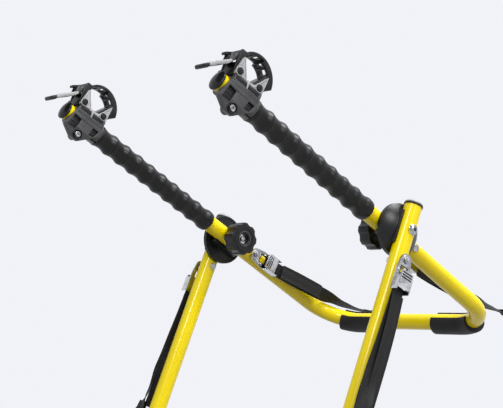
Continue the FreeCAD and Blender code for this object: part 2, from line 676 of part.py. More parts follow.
def build_cradle():
    """The bracket with two triangular ears each side and a V between them, its pins and its rubber strips."""
    base_y = "block_height + fit_gap / 2"
    outline = [
        (base_y, f"{CLAMP_END} + 1.5", "1"), ("ear_height", f"{TIP_PIN} + 1.6", "1.2"),
        ("vee_height", f"{VEE} + 6", "3"), ("vee_height", VEE, "2"), ("vee_height + 2.6", f"{HUB_PIN} + 7", "8"),
        ("ear_height", f"{HUB_PIN} - 9", "1.2"), (base_y, f"{HUB_PIN} - 9", "1"),
    ]
    near = plate("ear_near", outline, "ear_half_width - ear_thickness", "ear_thickness")
    far = plate("ear_far", outline, "-ear_half_width", "ear_thickness")
    base = box(
        "ear_base", "2 * ear_half_width", "ear_base", f"{CLAMP_END} - {HUB_PIN} - 8",
        ("-ear_half_width", base_y, f"{HUB_PIN} + 8"),
    )
    pin_bores = [
        cylinder(f"ear_bore_{name}", "jaw_pin_radius + bolt_clearance", "4 * ear_half_width", ("-2 * ear_half_width", "pin_height", z), "x")
        for name, z in (("tip", TIP_PIN), ("hub", HUB_PIN))
    ]
    twice(cut("ear_bracket", fuse("ear_blank", near, far, base), *pin_bores), "cradle_bracket", UPPER, ARM_SHIFT)

    pins = []
    head = "ear_half_width + fit_gap"
    for name, z in (("tip", TIP_PIN), ("hub", HUB_PIN)):
        pins.append(fuse(
            f"jaw_pin_{name}",
            cylinder(f"jaw_pin_{name}_shank", "jaw_pin_radius", f"2 * ({head})", (f"-({head})", "pin_height", z), "x"),
            cylinder(f"jaw_pin_{name}_near", "jaw_pin_head", "2.2", (head, "pin_height", z), "x"),
            cylinder(f"jaw_pin_{name}_far", "jaw_pin_head", "2.2", (f"-({head}) - 2.2", "pin_height", z), "x"),
        ))
    both = doc.addObject("Part::Compound", "jaw_pins")
    both.Links = pins
    twice(both, "jaw_pins", UPPER, ARM_SHIFT)

    # Rubber: a strip in each side slot of the block.
    strips = []
    for side, name in ((1, "near"), (-1, "far")):
        strip_x = "block_half_width - 3.7" if side > 0 else "-block_half_width - 0.6"
        for where, z in (("tip", f"{VEE} + 2.5 + fit_gap"), ("hub", f"{VEE} - 2.5 - strip_length + fit_gap")):
            strips.append(box(
                f"strip_{where}_{name}", "4.3", "strip_height", "strip_length",
                (strip_x, "block_height - strip_height - 1.2 + fit_gap", z),
            ))
    rubber = doc.addObject("Part::Compound", "cradle_rubber")
    rubber.Links = strips
    twice(rubber, "cradle_rubber", UPPER, ARM_SHIFT)


# Where the ladder strap's windows lie round its arch, in degrees from the arm's tip direction.
STRAP_WINDOWS = (62, 84, 106, 128, 148)


def build_ladder_strap():
    """The arched strap over the bike's tube: windows along it, a lined half and a root on the hub-side pin."""
    band = arc_band(
        "strap_band", "arch_radius - strap_thickness / 2", "arch_radius + strap_thickness / 2", "strap_half_width",
        "strap_first_angle", "strap_sweep_angle",
    )
    lining = arc_band(
        "strap_lining", "arch_radius - strap_thickness / 2 - strap_lining", "arch_radius", "strap_half_width",
        "lining_first_angle", "lining_sweep_angle",
    )
    root = plate("strap_root", [
        ("arch_height + 4", f"{ARCH} - arch_radius - strap_thickness / 2", "0.8"),
        ("arch_height + 17", f"{ARCH} - 0.72 * arch_radius", "1"), ("arch_height + 17", f"{ARCH} - 0.6 * arch_radius", "2"),
        ("pin_height + 2", f"{HUB_PIN} + 9.5", "2"), ("pin_height - 3.4", f"{HUB_PIN} + 3.5", "2"),
        ("pin_height - 3.4", f"{HUB_PIN} - 2.5", "1.5"),
    ], "-strap_half_width", "2 * strap_half_width")
    eye = cylinder("strap_eye", "jaw_pin_radius + 2.6", "2 * strap_half_width", ("-strap_half_width", "pin_height", HUB_PIN), "x")
    tools = [cylinder(
        "strap_eye_bore", "jaw_pin_radius + bolt_clearance", "4 * strap_half_width",
        ("-2 * strap_half_width", "pin_height", HUB_PIN), "x",
    )]
    for index, angle in enumerate(STRAP_WINDOWS):
        window = doc.addObject("Part::Box", f"strap_window_{index}")
        tie(window, "Length", "1.2 * strap_half_width")
        tie(window, "Width", "4 * strap_lining")
        tie(window, "Height", "strap_window")
        spread = math.radians(angle)
        middle = Vector(0, math.sin(spread), math.cos(spread))
        window.Placement = Placement(Vector(), Rotation(Vector(-1, 0, 0), angle - 90))
        along = Vector(0, math.cos(spread), -math.sin(spread))
        locate(window, (
            "-0.6 * strap_half_width",
            f"arch_height + (arch_radius - 8) * {middle.y} + strap_window / 2 * {along.y}",
            f"{ARCH} + (arch_radius - 8) * {middle.z} + strap_window / 2 * {along.z}",
        ))
        tools.append(window)
    strap = cut("ladder_strap_cut", fuse("ladder_strap_blank", band, lining, root, eye), *tools)
    twice(strap, "ladder_strap", UPPER, ARM_SHIFT)


# The lever's centre line from its pin to its thumb end, along the arm and above it, in shares of its reach.
LEVER_LINE = [(0.0, 0.0), (0.075, -0.236), (0.22, -0.455), (0.51, -0.70), (0.782, -1.0)]


def build_ratchet():
    """The ratchet base on the tip-side pin, its long lever and the small release tab on the lever."""
    inner = "strap_half_width + fit_gap"
    floor_y = "block_height + ear_base + fit_gap / 2 + fit_gap"
    outline = [
        (floor_y, f"{TIP_PIN} + 6.5", "1"), (floor_y, f"{TIP_PIN} - 5", "1"), ("pin_height + 14", f"{TIP_PIN} - 5", "2"),
        ("lever_height + 4", f"{TIP_PIN} - 2", "3"), ("lever_height + 4", f"{LEVER} + 3", "3"),
        ("pin_height + 14", f"{LEVER} + 3", "3"),
    ]
    near = plate("cheek_near", outline, inner, "cheek_thickness")
    far = plate("cheek_far", outline, f"-({inner}) - cheek_thickness", "cheek_thickness")
    floor = plate("ratchet_floor", [
        (floor_y, f"{TIP_PIN} + 6.5", "0.5"), (floor_y, f"{TIP_PIN} - 5", "0.5"),
        ("pin_height + 6", f"{TIP_PIN} - 5", "0.5"), ("pin_height + 6", f"{TIP_PIN} + 2", "1"),
        ("pin_height + 14", f"{TIP_PIN} + 3.4", "1"), ("pin_height + 14", f"{TIP_PIN} + 6.5", "1"),
    ], f"-({inner})", f"2 * ({inner})")
    apron = box(
        "ratchet_apron", f"2 * ({inner}) + 2 * cheek_thickness", "8.5", "2",
        (f"-({inner}) - cheek_thickness", "tube_radius + 1.2", f"{CLAMP_END} + fit_gap"),
    )
    pin = cylinder(
        "lever_pin", "lever_pin_radius", f"2 * ({inner})", (f"-({inner})", "lever_height", LEVER), "x",
    )
    pin_bore = cylinder(
        "ratchet_pin_bore", "jaw_pin_radius + bolt_clearance", "4 * strap_half_width",
        ("-2 * strap_half_width", "pin_height", TIP_PIN), "x",
    )
    base = cut("ratchet_base_cut", fuse("ratchet_blank", near, far, floor, apron, pin), pin_bore)
    twice(base, "ratchet_base", UPPER, ARM_SHIFT)

    reach = number("lever_reach")
    half = number("lever_thickness") / 2
    spots = [Vector(number("lever_height") + up * reach, number(LEVER) + along * reach, 0) for along, up in LEVER_LINE]
    sides = ([], [])
    for index, spot in enumerate(spots):
        ahead = spots[min(index + 1, len(spots) - 1)] - spots[max(index - 1, 0)]
        ahead.normalize()
        across = Vector(-ahead.y, ahead.x, 0)
        swell = 1.0 if index < len(spots) - 1 else 1.35
        sides[0].append(spot + across * half * swell)
        sides[1].append(spot - across * half * swell)
    corner_radii = (0.0, 10.0, 25.0, 30.0, 2.4)
    outline = [(str(p.x), str(p.y), str(r)) for p, r in zip(sides[0], corner_radii)]
    outline += [(str(p.x), str(p.y), str(r)) for p, r in reversed(list(zip(sides[1], corner_radii)))]
    arm = plate("lever_arm", outline, "-lever_half_width", "2 * lever_half_width")
    boss = cylinder("lever_boss", "lever_pin_radius + 1.6", "2 * lever_half_width", ("-lever_half_width", "lever_height", LEVER), "x")
    ears = [
        plate(f"tab_ear_{name}", [
            ("lever_height - 9", f"{LEVER} + 3", "0.4"), (f"{TAB_HEIGHT} + 2", f"{TAB} - 1", "1.2"),
            (f"{TAB_HEIGHT}", f"{TAB} + 2.4", "1.2"), ("lever_height - 21", f"{LEVER} + 10.5", "0.4"),
        ], start, "2")
        for name, start in (("near", "tab_half_width + 0.4"), ("far", "-tab_half_width - 2.4"))
    ]
    tab_pin = cylinder("tab_pin", "1", "2 * tab_half_width + 1.4", ("-tab_half_width - 0.7", TAB_HEIGHT, TAB), "x")
    lever_bore = cylinder(
        "lever_bore", "lever_pin_radius + bolt_clearance", "4 * lever_half_width",
        ("-2 * lever_half_width", "lever_height", LEVER), "x",
    )
    lever = cut("lever_cut", fuse("lever_blank", arm, boss, tab_pin, *ears), lever_bore)
    twice(lever, "ratchet_lever", UPPER, ARM_SHIFT)

    tab = plate("tab_plate", [
        (f"{TAB_HEIGHT} + 4", f"{TAB} - 2.4", "1.4"), (f"{TAB_HEIGHT} - 4.4", f"{TAB} + 10", "0.8"),
        (f"{TAB_HEIGHT} - 8.2", f"{TAB} + 8.4", "0.8"), (f"{TAB_HEIGHT} - 2.2", f"{TAB} - 0.4", "1"),
        (f"{TAB_HEIGHT} - 0.2", f"{TAB} - 2.8", "1"),
    ], "-tab_half_width", "2 * tab_half_width")
    tab_bore = cylinder("tab_bore", "1 + bolt_clearance", "20", ("-10", TAB_HEIGHT, TAB), "x")
    twice(cut("tab_cut", tab, tab_bore), "release_tab", UPPER, ARM_SHIFT)


def build_buckle(prefix, frame, face_shift, first):
    """A webbing buckle that stands off the tube's face on +x, and its thumb cam, with the strap end downwards."""
    root = "-strap_bolt_distance"
    base_x = "spacer_height + fit_gap"
    top_x = f"{base_x} + buckle_plate"
    wide = "buckle_half_width"
    flat = plate(f"{prefix}_flat", [
        ("10", f"{root} + 9", "8"), (wide, f"{root} - 16", "4"), (wide, f"{root} - buckle_length", "1"),
        (f"-{wide}", f"{root} - buckle_length", "1"), (f"-{wide}", f"{root} - 16", "4"), ("-10", f"{root} + 9", "8"),
    ], base_x, "buckle_plate")
    parts = [flat]
    cheek = "cam_height - webbing_thickness"
    for name, y in (("near", f"{wide} - 1.6"), ("far", f"-{wide}")):
        side = box(f"{prefix}_cheek_{name}", "cheek_height", "1.6", "26", (top_x, y, f"{root} - buckle_length"))
        parts.append(side)
    parts.append(cylinder(
        f"{prefix}_cam_pin", "cam_pin_radius", f"2 * {wide}",
        (f"{top_x} + cam_height", f"-{wide}", f"{root} - cam_along"), "y",
    ))
    window = box(f"{prefix}_window", "10", "13", "11", ("0", "-6.5", f"{root} - 23"))
    eye = cylinder(f"{prefix}_eye", "strap_bolt_radius + bolt_clearance", "20", ("-5", "0", root), "x")
    pair(cut(f"{prefix}_frame_cut", fuse(f"{prefix}_blank", *parts), window, eye), f"{prefix}_buckle", frame, face_shift, first)

    cam_x = f"{top_x} + cam_height"
    inside = f"{wide} - 1.6 - fit_gap"
    roller = cylinder(f"{prefix}_roller", "cam_radius", f"2 * ({inside})", (cam_x, f"-({inside})", f"{root} - cam_along"), "y")
    thumb = plate(f"{prefix}_thumb", [
        (inside, f"{root} - cam_along", "0.5"), (inside, f"{root} - 20", "3"),
        (f"-({inside})", f"{root} - 20", "3"), (f"-({inside})", f"{root} - cam_along", "0.5"),
    ], f"{cam_x} + cam_radius - 1.8", "1.8")
    ribs = [
        box(f"{prefix}_rib_{index}", "1", f"2 * ({inside}) - 4", "1.4", (f"{cam_x} + cam_radius - 0.2", f"-({inside}) + 2", f"{root} - {22 + 4 * index}"))
        for index in range(4)
    ]
    bore = cylinder(
        f"{prefix}_cam_bore", "cam_pin_radius + bolt_clearance", f"4 * {wide}",
        (cam_x, f"-2 * {wide}", f"{root} - cam_along"), "y",
    )
    pair(cut(f"{prefix}_cam_cut", fuse(f"{prefix}_cam_blank", roller, thumb, *ribs), bore), f"{prefix}_cam", frame, face_shift, first)


def build_strap_bolts(label, frame, shift, outward):
    """The bolts that carry the buckles, one each side: head against one face of the tube, nut on the buckle."""
    z = "-strap_bolt_distance"
    solids = []
    face = "tube_radius + 0.1"
    plate_top = "tube_radius + spacer_height + fit_gap + buckle_plate + fit_gap"
    for side in (1, -1):
        name = f"{label}_{'right' if side > 0 else 'left'}"
        way = side * outward
        tube = f"{side} * ({shift})"

        def spot(start, length):
            """The low end of a length that starts at a distance from the tube's axis."""
            return f"{tube} + {way} * ({start})" if way > 0 else f"{tube} - ({start}) - ({length})"

        shank_length = f"{plate_top} + 5 + {face}"
        shank = cylinder(f"{name}_shank", "strap_bolt_radius", shank_length, (spot(f"-({face})", shank_length), "0", z), "x")
        head = cylinder(
            f"{name}_head", "strap_bolt_head", "strap_head_height",
            (spot(f"-({face}) - strap_head_height", "strap_head_height"), "0", z), "x",
        )
        nut = cylinder(f"{name}_nut", "strap_bolt_head - 0.5", "3.6", (spot(plate_top, "3.6"), "0", z), "x")
        solids.append(fuse(f"{name}_bolt", shank, head, nut))
        ring = cylinder(f"{name}_ring", "strap_bolt_head", "spacer_height - fit_gap", (spot("tube_radius + fit_gap", "spacer_height - fit_gap"), "0", z), "x")
        hole = cylinder(f"{name}_ring_hole", "strap_bolt_radius + bolt_clearance", "3 * tube_radius", (spot("0", "3 * tube_radius"), "0", z), "x")
        solids.append(cut(f"{name}_spacer", ring, hole))
    group = doc.addObject("Part::Compound", label)
    group.Links = solids
    seat(group, label, frame)


def ribbon(stations):
    """A flat strap as a ruled solid: each station is a centre, a width direction and a thickness direction."""
    half, thin = number("webbing_width") / 2, number("webbing_thickness") / 2
    rings = []
    for centre, across, out in stations:
        rings.append([centre + across * (half * u) + out * (thin * v) for u, v in ((1, 1), (-1, 1), (-1, -1), (1, -1))])
    faces = [Part.Face(Part.makePolygon(ring + ring[:1])) for ring in (rings[0], rings[-1])]
    for near, far in zip(rings, rings[1:]):
        for index in range(4):
            after = (index + 1) % 4
            faces.append(Part.makeRuledSurface(Part.makeLine(near[index], near[after]), Part.makeLine(far[index], far[after])))
    solid = Part.makeSolid(Part.makeShell(faces))
    if solid.Volume < 0:
        solid.reverse()
    return solid


def smooth(points, turns, steps=4):
    """More points on a soft curve through the given ones, with the turn shared out between them."""
    fine, angles = [], []
    for index in range(len(points) - 1):
        before = points[max(index - 1, 0)]
        first, last = points[index], points[index + 1]
        after = points[min(index + 2, len(points) - 1)]
        for step in range(steps):
            t = step / steps
            fine.append((
                first * 2 + (last - before) * t + (before * 2 - first * 5 + last * 4 - after) * t ** 2
                + (first * 3 - before - last * 3 + after) * t ** 3
            ) * 0.5)
            angles.append(turns[index] + (turns[index + 1] - turns[index]) * t)
    return fine + [points[-1]], angles + [turns[-1]]


def stations_along(points, turns, first_normal):
    """Stations on a path, with the strap turned about its own line by a given angle at each point."""
    stations = []
    for index, point in enumerate(points):
        ahead = points[min(index + 1, len(points) - 1)] - points[max(index - 1, 0)]
        ahead.normalize()
        out = first_normal - ahead * first_normal.dot(ahead)
        out.normalize()
        out = Rotation(ahead, turns[index]).multVec(out)
        stations.append((point, ahead.cross(out), out))
    return stations


def loop_about(bar, ahead, normal):
    """The sewn loop of a strap's end round a hook's bar, as a ring with a neck towards the strap."""
    inner = number("hook_bar_radius + fit_gap")
    outer = inner + number("webbing_thickness")
    half = number("webbing_width") / 2
    across = ahead.cross(normal)
    start = bar - across * half
    ring = Part.makeCylinder(outer, 2 * half, start, across).cut(Part.makeCylinder(inner, 2 * half, start, across))
    return ring


# Routes of the load straps from the buckle to the hook, each point with the strap's turn about its own line.
# The upper ones are (x towards the middle, y, z, turn); the lower ones are (x outwards, y, distance from the
# hinge, turn) in the leg's frame. The hooks' bars come last.
UPPER_ROUTE = {
    "left": [(2.0, 150.0, -76.0, 4), (3.0, 195.0, -92.5, 25), (4.5, 248.0, -112.5, 78), (5.5, 288.0, -124.0, 90)],
    "right": [(2.0, 150.0, -74.0, 2), (3.0, 195.0, -91.0, 12), (4.5, 248.0, -109.0, 38), (5.5, 288.0, -121.5, 62)],
}
UPPER_HOOK = (6.5, 330.0, -130.0)
LOWER_ROUTE = [(0.5, -2.5, 175.0, 0), (3.0, -7.0, 245.0, 14), (9.0, -10.0, 295.0, 50)]
LOWER_HOOK = (15.0, -12.0, 338.0)
LOWER_TAIL = [(0.4, 0.5, 110.0), (1.4, 3.0, 142.0), (2.6, 4.5, 200.0), (3.2, 4.0, 265.0), (4.4, 2.5, 318.0)]


def strap_with_loop(points, turns, bar, face):
    """A load strap that ends in a sewn loop round its hook's bar."""
    reach = bar - points[-1]
    reach.normalize()
    ring = number("hook_bar_radius + fit_gap + webbing_thickness / 2")
    points, turns = smooth(points + [bar - reach * ring], turns)
    stations = stations_along(points, turns, face)
    normal = stations[-1][2] - reach * stations[-1][2].dot(reach)
    normal.normalize()
    band = ribbon(stations).fuse(loop_about(bar, reach, normal)).removeSplitter()
    return band, reach, normal


def build_webbing():
    """The four straps with their tails, and the hooks on their far ends."""
    rise = math.radians(number("arm_rise"))
    down = Vector(0, math.cos(rise), -math.sin(rise))
    lift = number("spacer_height + fit_gap + buckle_plate + webbing_thickness / 2 + 0.2")
    inside = number("strap_bolt_distance + cam_along - 8")
    clear = number("strap_bolt_distance + buckle_length + 8")
    gap = number("webbing_thickness + fit_gap")
    for name, side in (("left", -1), ("right", 1)):
        toward = Vector(-side, 0, 0)
        x = side * (number("frame_width / 2 - tube_radius") - lift)
        points = [Vector(x, 0, 0) + down * inside, Vector(x, 0, 0) + down * clear]
        turns = [0, 0]
        for shift, y, z, turn in UPPER_ROUTE[name]:
            points.append(Vector(x - side * shift, y, z))
            turns.append(-side * turn)
        turns.append(-side * 90)
        bar = Vector(x - side * UPPER_HOOK[0], UPPER_HOOK[1], UPPER_HOOK[2])
        load, reach, normal = strap_with_loop(points, turns, bar, toward)
        if normal.z < 0:
            normal = normal * -1
        fold = folded_tail(points[1], points[2], toward, gap)
        seat(shape_feature(f"upper_webbing_{name}_shape", Part.makeCompound([load, fold])), f"upper_webbing_{name}", None)
        seat(shape_feature(f"upper_hook_{name}_shape", hook(bar, reach, normal)), f"upper_hook_{name}", None)

    # The lower straps lie along the legs' outer faces, a little behind them, in the legs' frame.
    turned_back = Rotation(Vector(1, 0, 0), -number("leg_lean_angle"))
    for name, side in (("left", -1), ("right", 1)):
        out = Vector(side, 0, 0)
        x = side * (number(f"{LEG_SHIFT} + tube_radius") + lift)
        points = [Vector(x, 0, -inside), Vector(x, -0.5, -clear)]
        turns = [0, 0]
        for shift, y, along, turn in LOWER_ROUTE:
            points.append(Vector(x + side * shift, y, -along))
            turns.append(side * turn)
        turns.append(side * 90)
        bar = turned_back.multVec(Vector(x + side * LOWER_HOOK[0], LOWER_HOOK[1], -LOWER_HOOK[2]))
        points = [turned_back.multVec(point) for point in points]
        load, reach, normal = strap_with_loop(points, turns, bar, out)
        if normal.y > 0:
            normal = normal * -1
        free = [turned_back.multVec(Vector(x + side * (gap + off), y, -along)) for off, y, along in LOWER_TAIL]
        free, flat = smooth(free, [0] * len(free))
        loose = ribbon(stations_along(free, flat, out))
        seat(shape_feature(f"lower_webbing_{name}_shape", Part.makeCompound([load, loose])), f"lower_webbing_{name}", None)
        seat(shape_feature(f"lower_hook_{name}_shape", hook(bar, reach, normal)), f"lower_hook_{name}", None)


def folded_tail(start, second, toward, gap):
    """The upper strap's tail: from the buckle beside the load run, round a soft fold and back."""
    run = second - start
    length = run.Length + number("fold_length")
    run.normalize()
    across = run.cross(toward)
    origin = start - across * (number("webbing_width") / 2)

    def spot(along, out):
        """A point along the run and out from the load strap's middle, at the strap's edge."""
        return origin + run * along + toward * out

    low, high = gap + 0.3, gap + 6.3
    nose = (high - low) / 2
    path = Part.Wire([
        Part.Arc(spot(-7, low), spot(length / 2, low + 0.6), spot(length, low)).toShape(),
        Part.Arc(spot(length, low), spot(length + nose, low + nose), spot(length, high)).toShape(),
        Part.Arc(spot(length, high), spot(length / 2, high + 2.4), spot(2, high)).toShape(),
    ])
    outline = path.makeOffset2D(number("webbing_thickness") / 2, 0, False, False, False)
    return Part.Face(outline).extrude(across * number("webbing_width"))


def hook(bar, ahead, normal):
    """A coated hook: a bar for the strap's loop, two arms and a plate bent back on itself round a car's edge."""
    across = ahead.cross(normal)
    wide = number("webbing_width") / 2 + 3
    thick, mouth, length = number("hook_plate"), number("hook_mouth"), number("hook_length")
    solid = Part.makeCylinder(number("hook_bar_radius"), 2 * wide, bar - across * wide, across)
    clear = number("hook_bar_radius + fit_gap + webbing_thickness") + 1

    def slab(start, end, low, high, half_width):
        """A box along the hook's line, between two heights over the strap's line."""
        corners = [
            bar + ahead * along + normal * up + across * half_width * side
            for along, up, side in ((start, low, -1), (end, low, -1), (end, high, -1), (start, high, -1))
        ]
        return Part.Face(Part.makePolygon(corners + corners[:1])).extrude(across * 2 * half_width)

    for side in (-1, 1):
        arm = Part.makeBox(1, 1, 1)
        edge = across * (wide - 1.2) * side
        corners = [
            bar + edge + ahead * along + normal * up
            for along, up in ((-2.5, -2.5), (clear + 2, -2.5), (clear + 2, 2.5), (-2.5, 2.5))
        ]
        arm = Part.Face(Part.makePolygon(corners + corners[:1])).extrude(across * 1.2 * (1 if side > 0 else -1))
        solid = solid.fuse(arm)
    solid = solid.fuse(slab(clear, clear + length, -thick / 2, thick / 2, wide))
    solid = solid.fuse(slab(clear + length - thick, clear + length, -mouth - 1.5 * thick, thick / 2, wide))
    solid = solid.fuse(slab(clear + length - 20, clear + length, -mouth - 1.5 * thick, -mouth - thick / 2, wide))
    return solid.removeSplitter()


def check_and_write():
    """Stops on a failed object or a bad shape, then writes each piece to its own file."""
    doc.recompute()
    for obj in doc.Objects:
        if "Invalid" in obj.State or "Error" in obj.State:
            raise RuntimeError(f"{obj.Name} failed: {obj.State}")
    os.makedirs("parts", exist_ok=True)
    for label, obj in pieces.items():
        shape = obj.Shape
        if shape.isNull() or not shape.isValid() or not shape.Solids:
            raise RuntimeError(f"{label} has no valid solid")
        shape.exportStep(os.path.join("parts", label + ".step"))
        print(f"{label}: {len(shape.Solids)} solids, {shape.Volume / 1000:.2f} cm3")
    print(f"{len(pieces)} pieces")


build_frames()
build_arm_covers()
build_hubs()
build_pads()
build_clamps()
build_buckle("lower", LOWER, f"{LEG_SHIFT} + tube_radius", "right")
build_buckle("upper", UPPER, f"-({ARM_SHIFT}) + tube_radius", "left")
build_strap_bolts("upper_strap_bolts", UPPER, ARM_SHIFT, -1)
build_strap_bolts("lower_strap_bolts", LOWER, LEG_SHIFT, 1)
build_webbing()
check_and_write()
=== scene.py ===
"""Dresses the trunk bike carrier: painted tubes, ribbed sleeves, moulded clamps, zinc buckles and webbing."""

from __future__ import annotations

import json
import logging
import math
from contextlib import contextmanager
from dataclasses import dataclass
from enum import Enum
from typing import Callable, Iterable, Iterator, Optional, Sequence

import bpy
from mathutils import Matrix, Vector

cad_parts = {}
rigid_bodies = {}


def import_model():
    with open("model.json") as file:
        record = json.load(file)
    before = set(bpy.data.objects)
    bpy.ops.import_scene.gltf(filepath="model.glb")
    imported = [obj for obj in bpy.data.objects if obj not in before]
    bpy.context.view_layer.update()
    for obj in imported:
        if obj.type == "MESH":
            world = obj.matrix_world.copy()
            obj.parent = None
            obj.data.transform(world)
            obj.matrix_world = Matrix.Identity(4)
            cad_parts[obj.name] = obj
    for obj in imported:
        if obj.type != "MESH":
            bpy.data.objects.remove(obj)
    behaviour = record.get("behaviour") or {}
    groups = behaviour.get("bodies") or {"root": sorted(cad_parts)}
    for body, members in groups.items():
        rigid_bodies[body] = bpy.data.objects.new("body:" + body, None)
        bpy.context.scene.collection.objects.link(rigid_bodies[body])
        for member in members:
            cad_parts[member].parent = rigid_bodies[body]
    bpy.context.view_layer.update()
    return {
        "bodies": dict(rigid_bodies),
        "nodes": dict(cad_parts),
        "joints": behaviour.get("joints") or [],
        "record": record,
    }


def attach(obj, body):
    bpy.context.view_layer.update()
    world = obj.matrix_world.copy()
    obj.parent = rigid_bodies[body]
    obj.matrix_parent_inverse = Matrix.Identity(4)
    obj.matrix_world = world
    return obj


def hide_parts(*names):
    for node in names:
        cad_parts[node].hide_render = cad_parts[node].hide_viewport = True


LOG = logging.getLogger("bike_carrier")
Pair = tuple[float, float]
Triple = tuple[float, float, float]
Outline = tuple[Pair, ...]
Facing = Callable[[float, Vector], tuple[Vector, Vector]]
Piece = bpy.types.Object
Socket = bpy.types.NodeSocket

MM = 0.001
TUBE = 14.0  # the radius of both tubes
BEND = 72.0  # the radius of their bends
BORE = 14.3  # the inner radius of what is pushed over a tube
SINK = 0.1  # how far the foot of a trim piece goes into what carries it


class Side(Enum):
    """One side of the carrier, with its sign along X."""

    LEFT = -1
    RIGHT = 1

    @property
    def word(self) -> str:
        """The side's name as the nodes carry it."""
        return self.name.lower()

    def mirror(self) -> Matrix:
        """The move that takes a right-hand piece to this side."""
        return Matrix.Diagonal((self.value, 1, 1, 1))


class Slot(Enum):
    """The record's material slots."""

    YELLOW_PAINT = "yellow_paint"
    SLEEVE_RUBBER = "sleeve_rubber"
    BLACK_PLASTIC = "black_plastic"
    BRIGHT_ZINC = "bright_zinc"
    PAD_RUBBER = "pad_rubber"
    CLAMP_GREY = "clamp_grey"
    JAW_GREY = "jaw_grey"
    WEBBING = "webbing"
    HOOK_COAT = "hook_coat"


@dataclass(frozen=True)
class BentTube:
    """A U-shaped tube with its own frame: z runs up its sides, y is square to its plane, x is the world's.

    Its sides stand half from the middle and end at top, its crossbar is drop below the hinge, and pad_way is
    the side of its plane, along y, that its pads are open on.
    """

    name: str
    turn: float
    half: float
    top: float
    drop: float
    pad_way: int

    @property
    def body(self) -> str:
        """The body that the tube rides on."""
        return f"{self.name}_frame"

    def matrix(self, x: float = 0.0) -> Matrix:
        """The move from this frame to the world, and x millimetres along X."""
        return Matrix.Translation((x * MM, 0, 0)) @ Matrix.Rotation(math.radians(self.turn), 4, "X")

    def place(self, x: float, y: float, z: float) -> Vector:
        """A point of this frame, in millimetres, as a point of the world in metres."""
        return self.matrix() @ Vector((x * MM, y * MM, z * MM))


ARM = BentTube("upper", turn=60.4, half=190.5, top=397.0, drop=293.0, pad_way=1)
LEG = BentTube("lower", turn=-24.2, half=226.0, top=40.0, drop=480.0, pad_way=-1)


# Finishes


def linear(colour: Triple) -> tuple[float, float, float, float]:
    """A display colour, each part from 0 to 1, as a linear one with alpha."""
    parts = [c / 12.92 if c <= 0.04045 else ((c + 0.055) / 1.055) ** 2.4 for c in colour]
    return (parts[0], parts[1], parts[2], 1.0)


class Graph:
    """A shader node tree that is built by short calls."""

    def __init__(self, tree: bpy.types.NodeTree) -> None:
        """Keeps the tree."""
        self.tree = tree

    def feed(self, target: Socket, value: object) -> None:
        """Gives an input a value of its own, or links it where the value is a socket.

        Args:
            target: The input.
            value: The value or the socket.
        """
        if isinstance(value, Socket):
            self.tree.links.new(value, target)
        else:
            target.default_value = value

    def add(self, kind: str, inputs: Optional[dict] = None, **settings: object) -> bpy.types.Node:
        """Adds a node.

        Args:
            kind: The node's type, without the words that all types start with.
            inputs: A socket or a value for each input, by its name or place.
            settings: The node's own settings.

        Returns:
            The node.
        """
        node = self.tree.nodes.new(f"ShaderNode{kind}")
        for key, value in settings.items():
            setattr(node, key, value)
        for key, value in (inputs or {}).items():
            self.feed(node.inputs[key], value)
        return node

    def math(self, operation: str, *values: object) -> Socket:
        """Adds a maths step over sockets or numbers."""
        return self.add("Math", dict(enumerate(values)), operation=operation).outputs[0]

    def mix(self, share: object, first: object, second: object, **settings: object) -> Socket:
        """Adds a mix of two colours."""
        inputs = {"Factor": share, "A": first, "B": second}
        return self.add("Mix", inputs, data_type="RGBA", **settings).outputs["Result"]

    def surface(self, output: str, share: Socket, first: bpy.types.Node, second: bpy.types.Node) -> None:
        """Sends a mix of two shaders to an output node."""
        mixed = self.add("MixShader", {"Fac": share, 1: first.outputs[0], 2: second.outputs[0]})
        self.feed(self.tree.nodes[output].inputs["Surface"], mixed.outputs[0])


class EffectGroup(Graph):
    """A node group with one result, over a place, which several finishes share."""

    def __init__(self, name: str, numbers: dict[str, float], colours: Sequence[str] = ()) -> None:
        """Makes an empty group, whose result is a colour where it takes colours.

        Args:
            name: The group's name.
            numbers: The numbers that it takes, with their usual values.
            colours: The colours that it takes.
        """
        super().__init__(bpy.data.node_groups.new(name, "ShaderNodeTree"))
        kinds = {"Vector": "NodeSocketVector"} | dict.fromkeys(colours, "NodeSocketColor")
        for label, kind in (kinds | dict.fromkeys(numbers, "NodeSocketFloat")).items():
            socket = self.tree.interface.new_socket(name=label, in_out="INPUT", socket_type=kind)
            if label in numbers:
                socket.default_value = numbers[label]
        kind = "NodeSocketColor" if colours else "NodeSocketFloat"
        self.tree.interface.new_socket(name="Result", in_out="OUTPUT", socket_type=kind)
        self.given = self.tree.nodes.new("NodeGroupInput").outputs
        self.result = self.tree.nodes.new("NodeGroupOutput").inputs["Result"]

    def noise(self, detail: float) -> Socket:
        """Adds a noise at the group's scale."""
        inputs = {"Vector": self.given["Vector"], "Scale": self.given["Scale"], "Detail": detail}
        return self.add("TexNoise", inputs).outputs["Fac"]


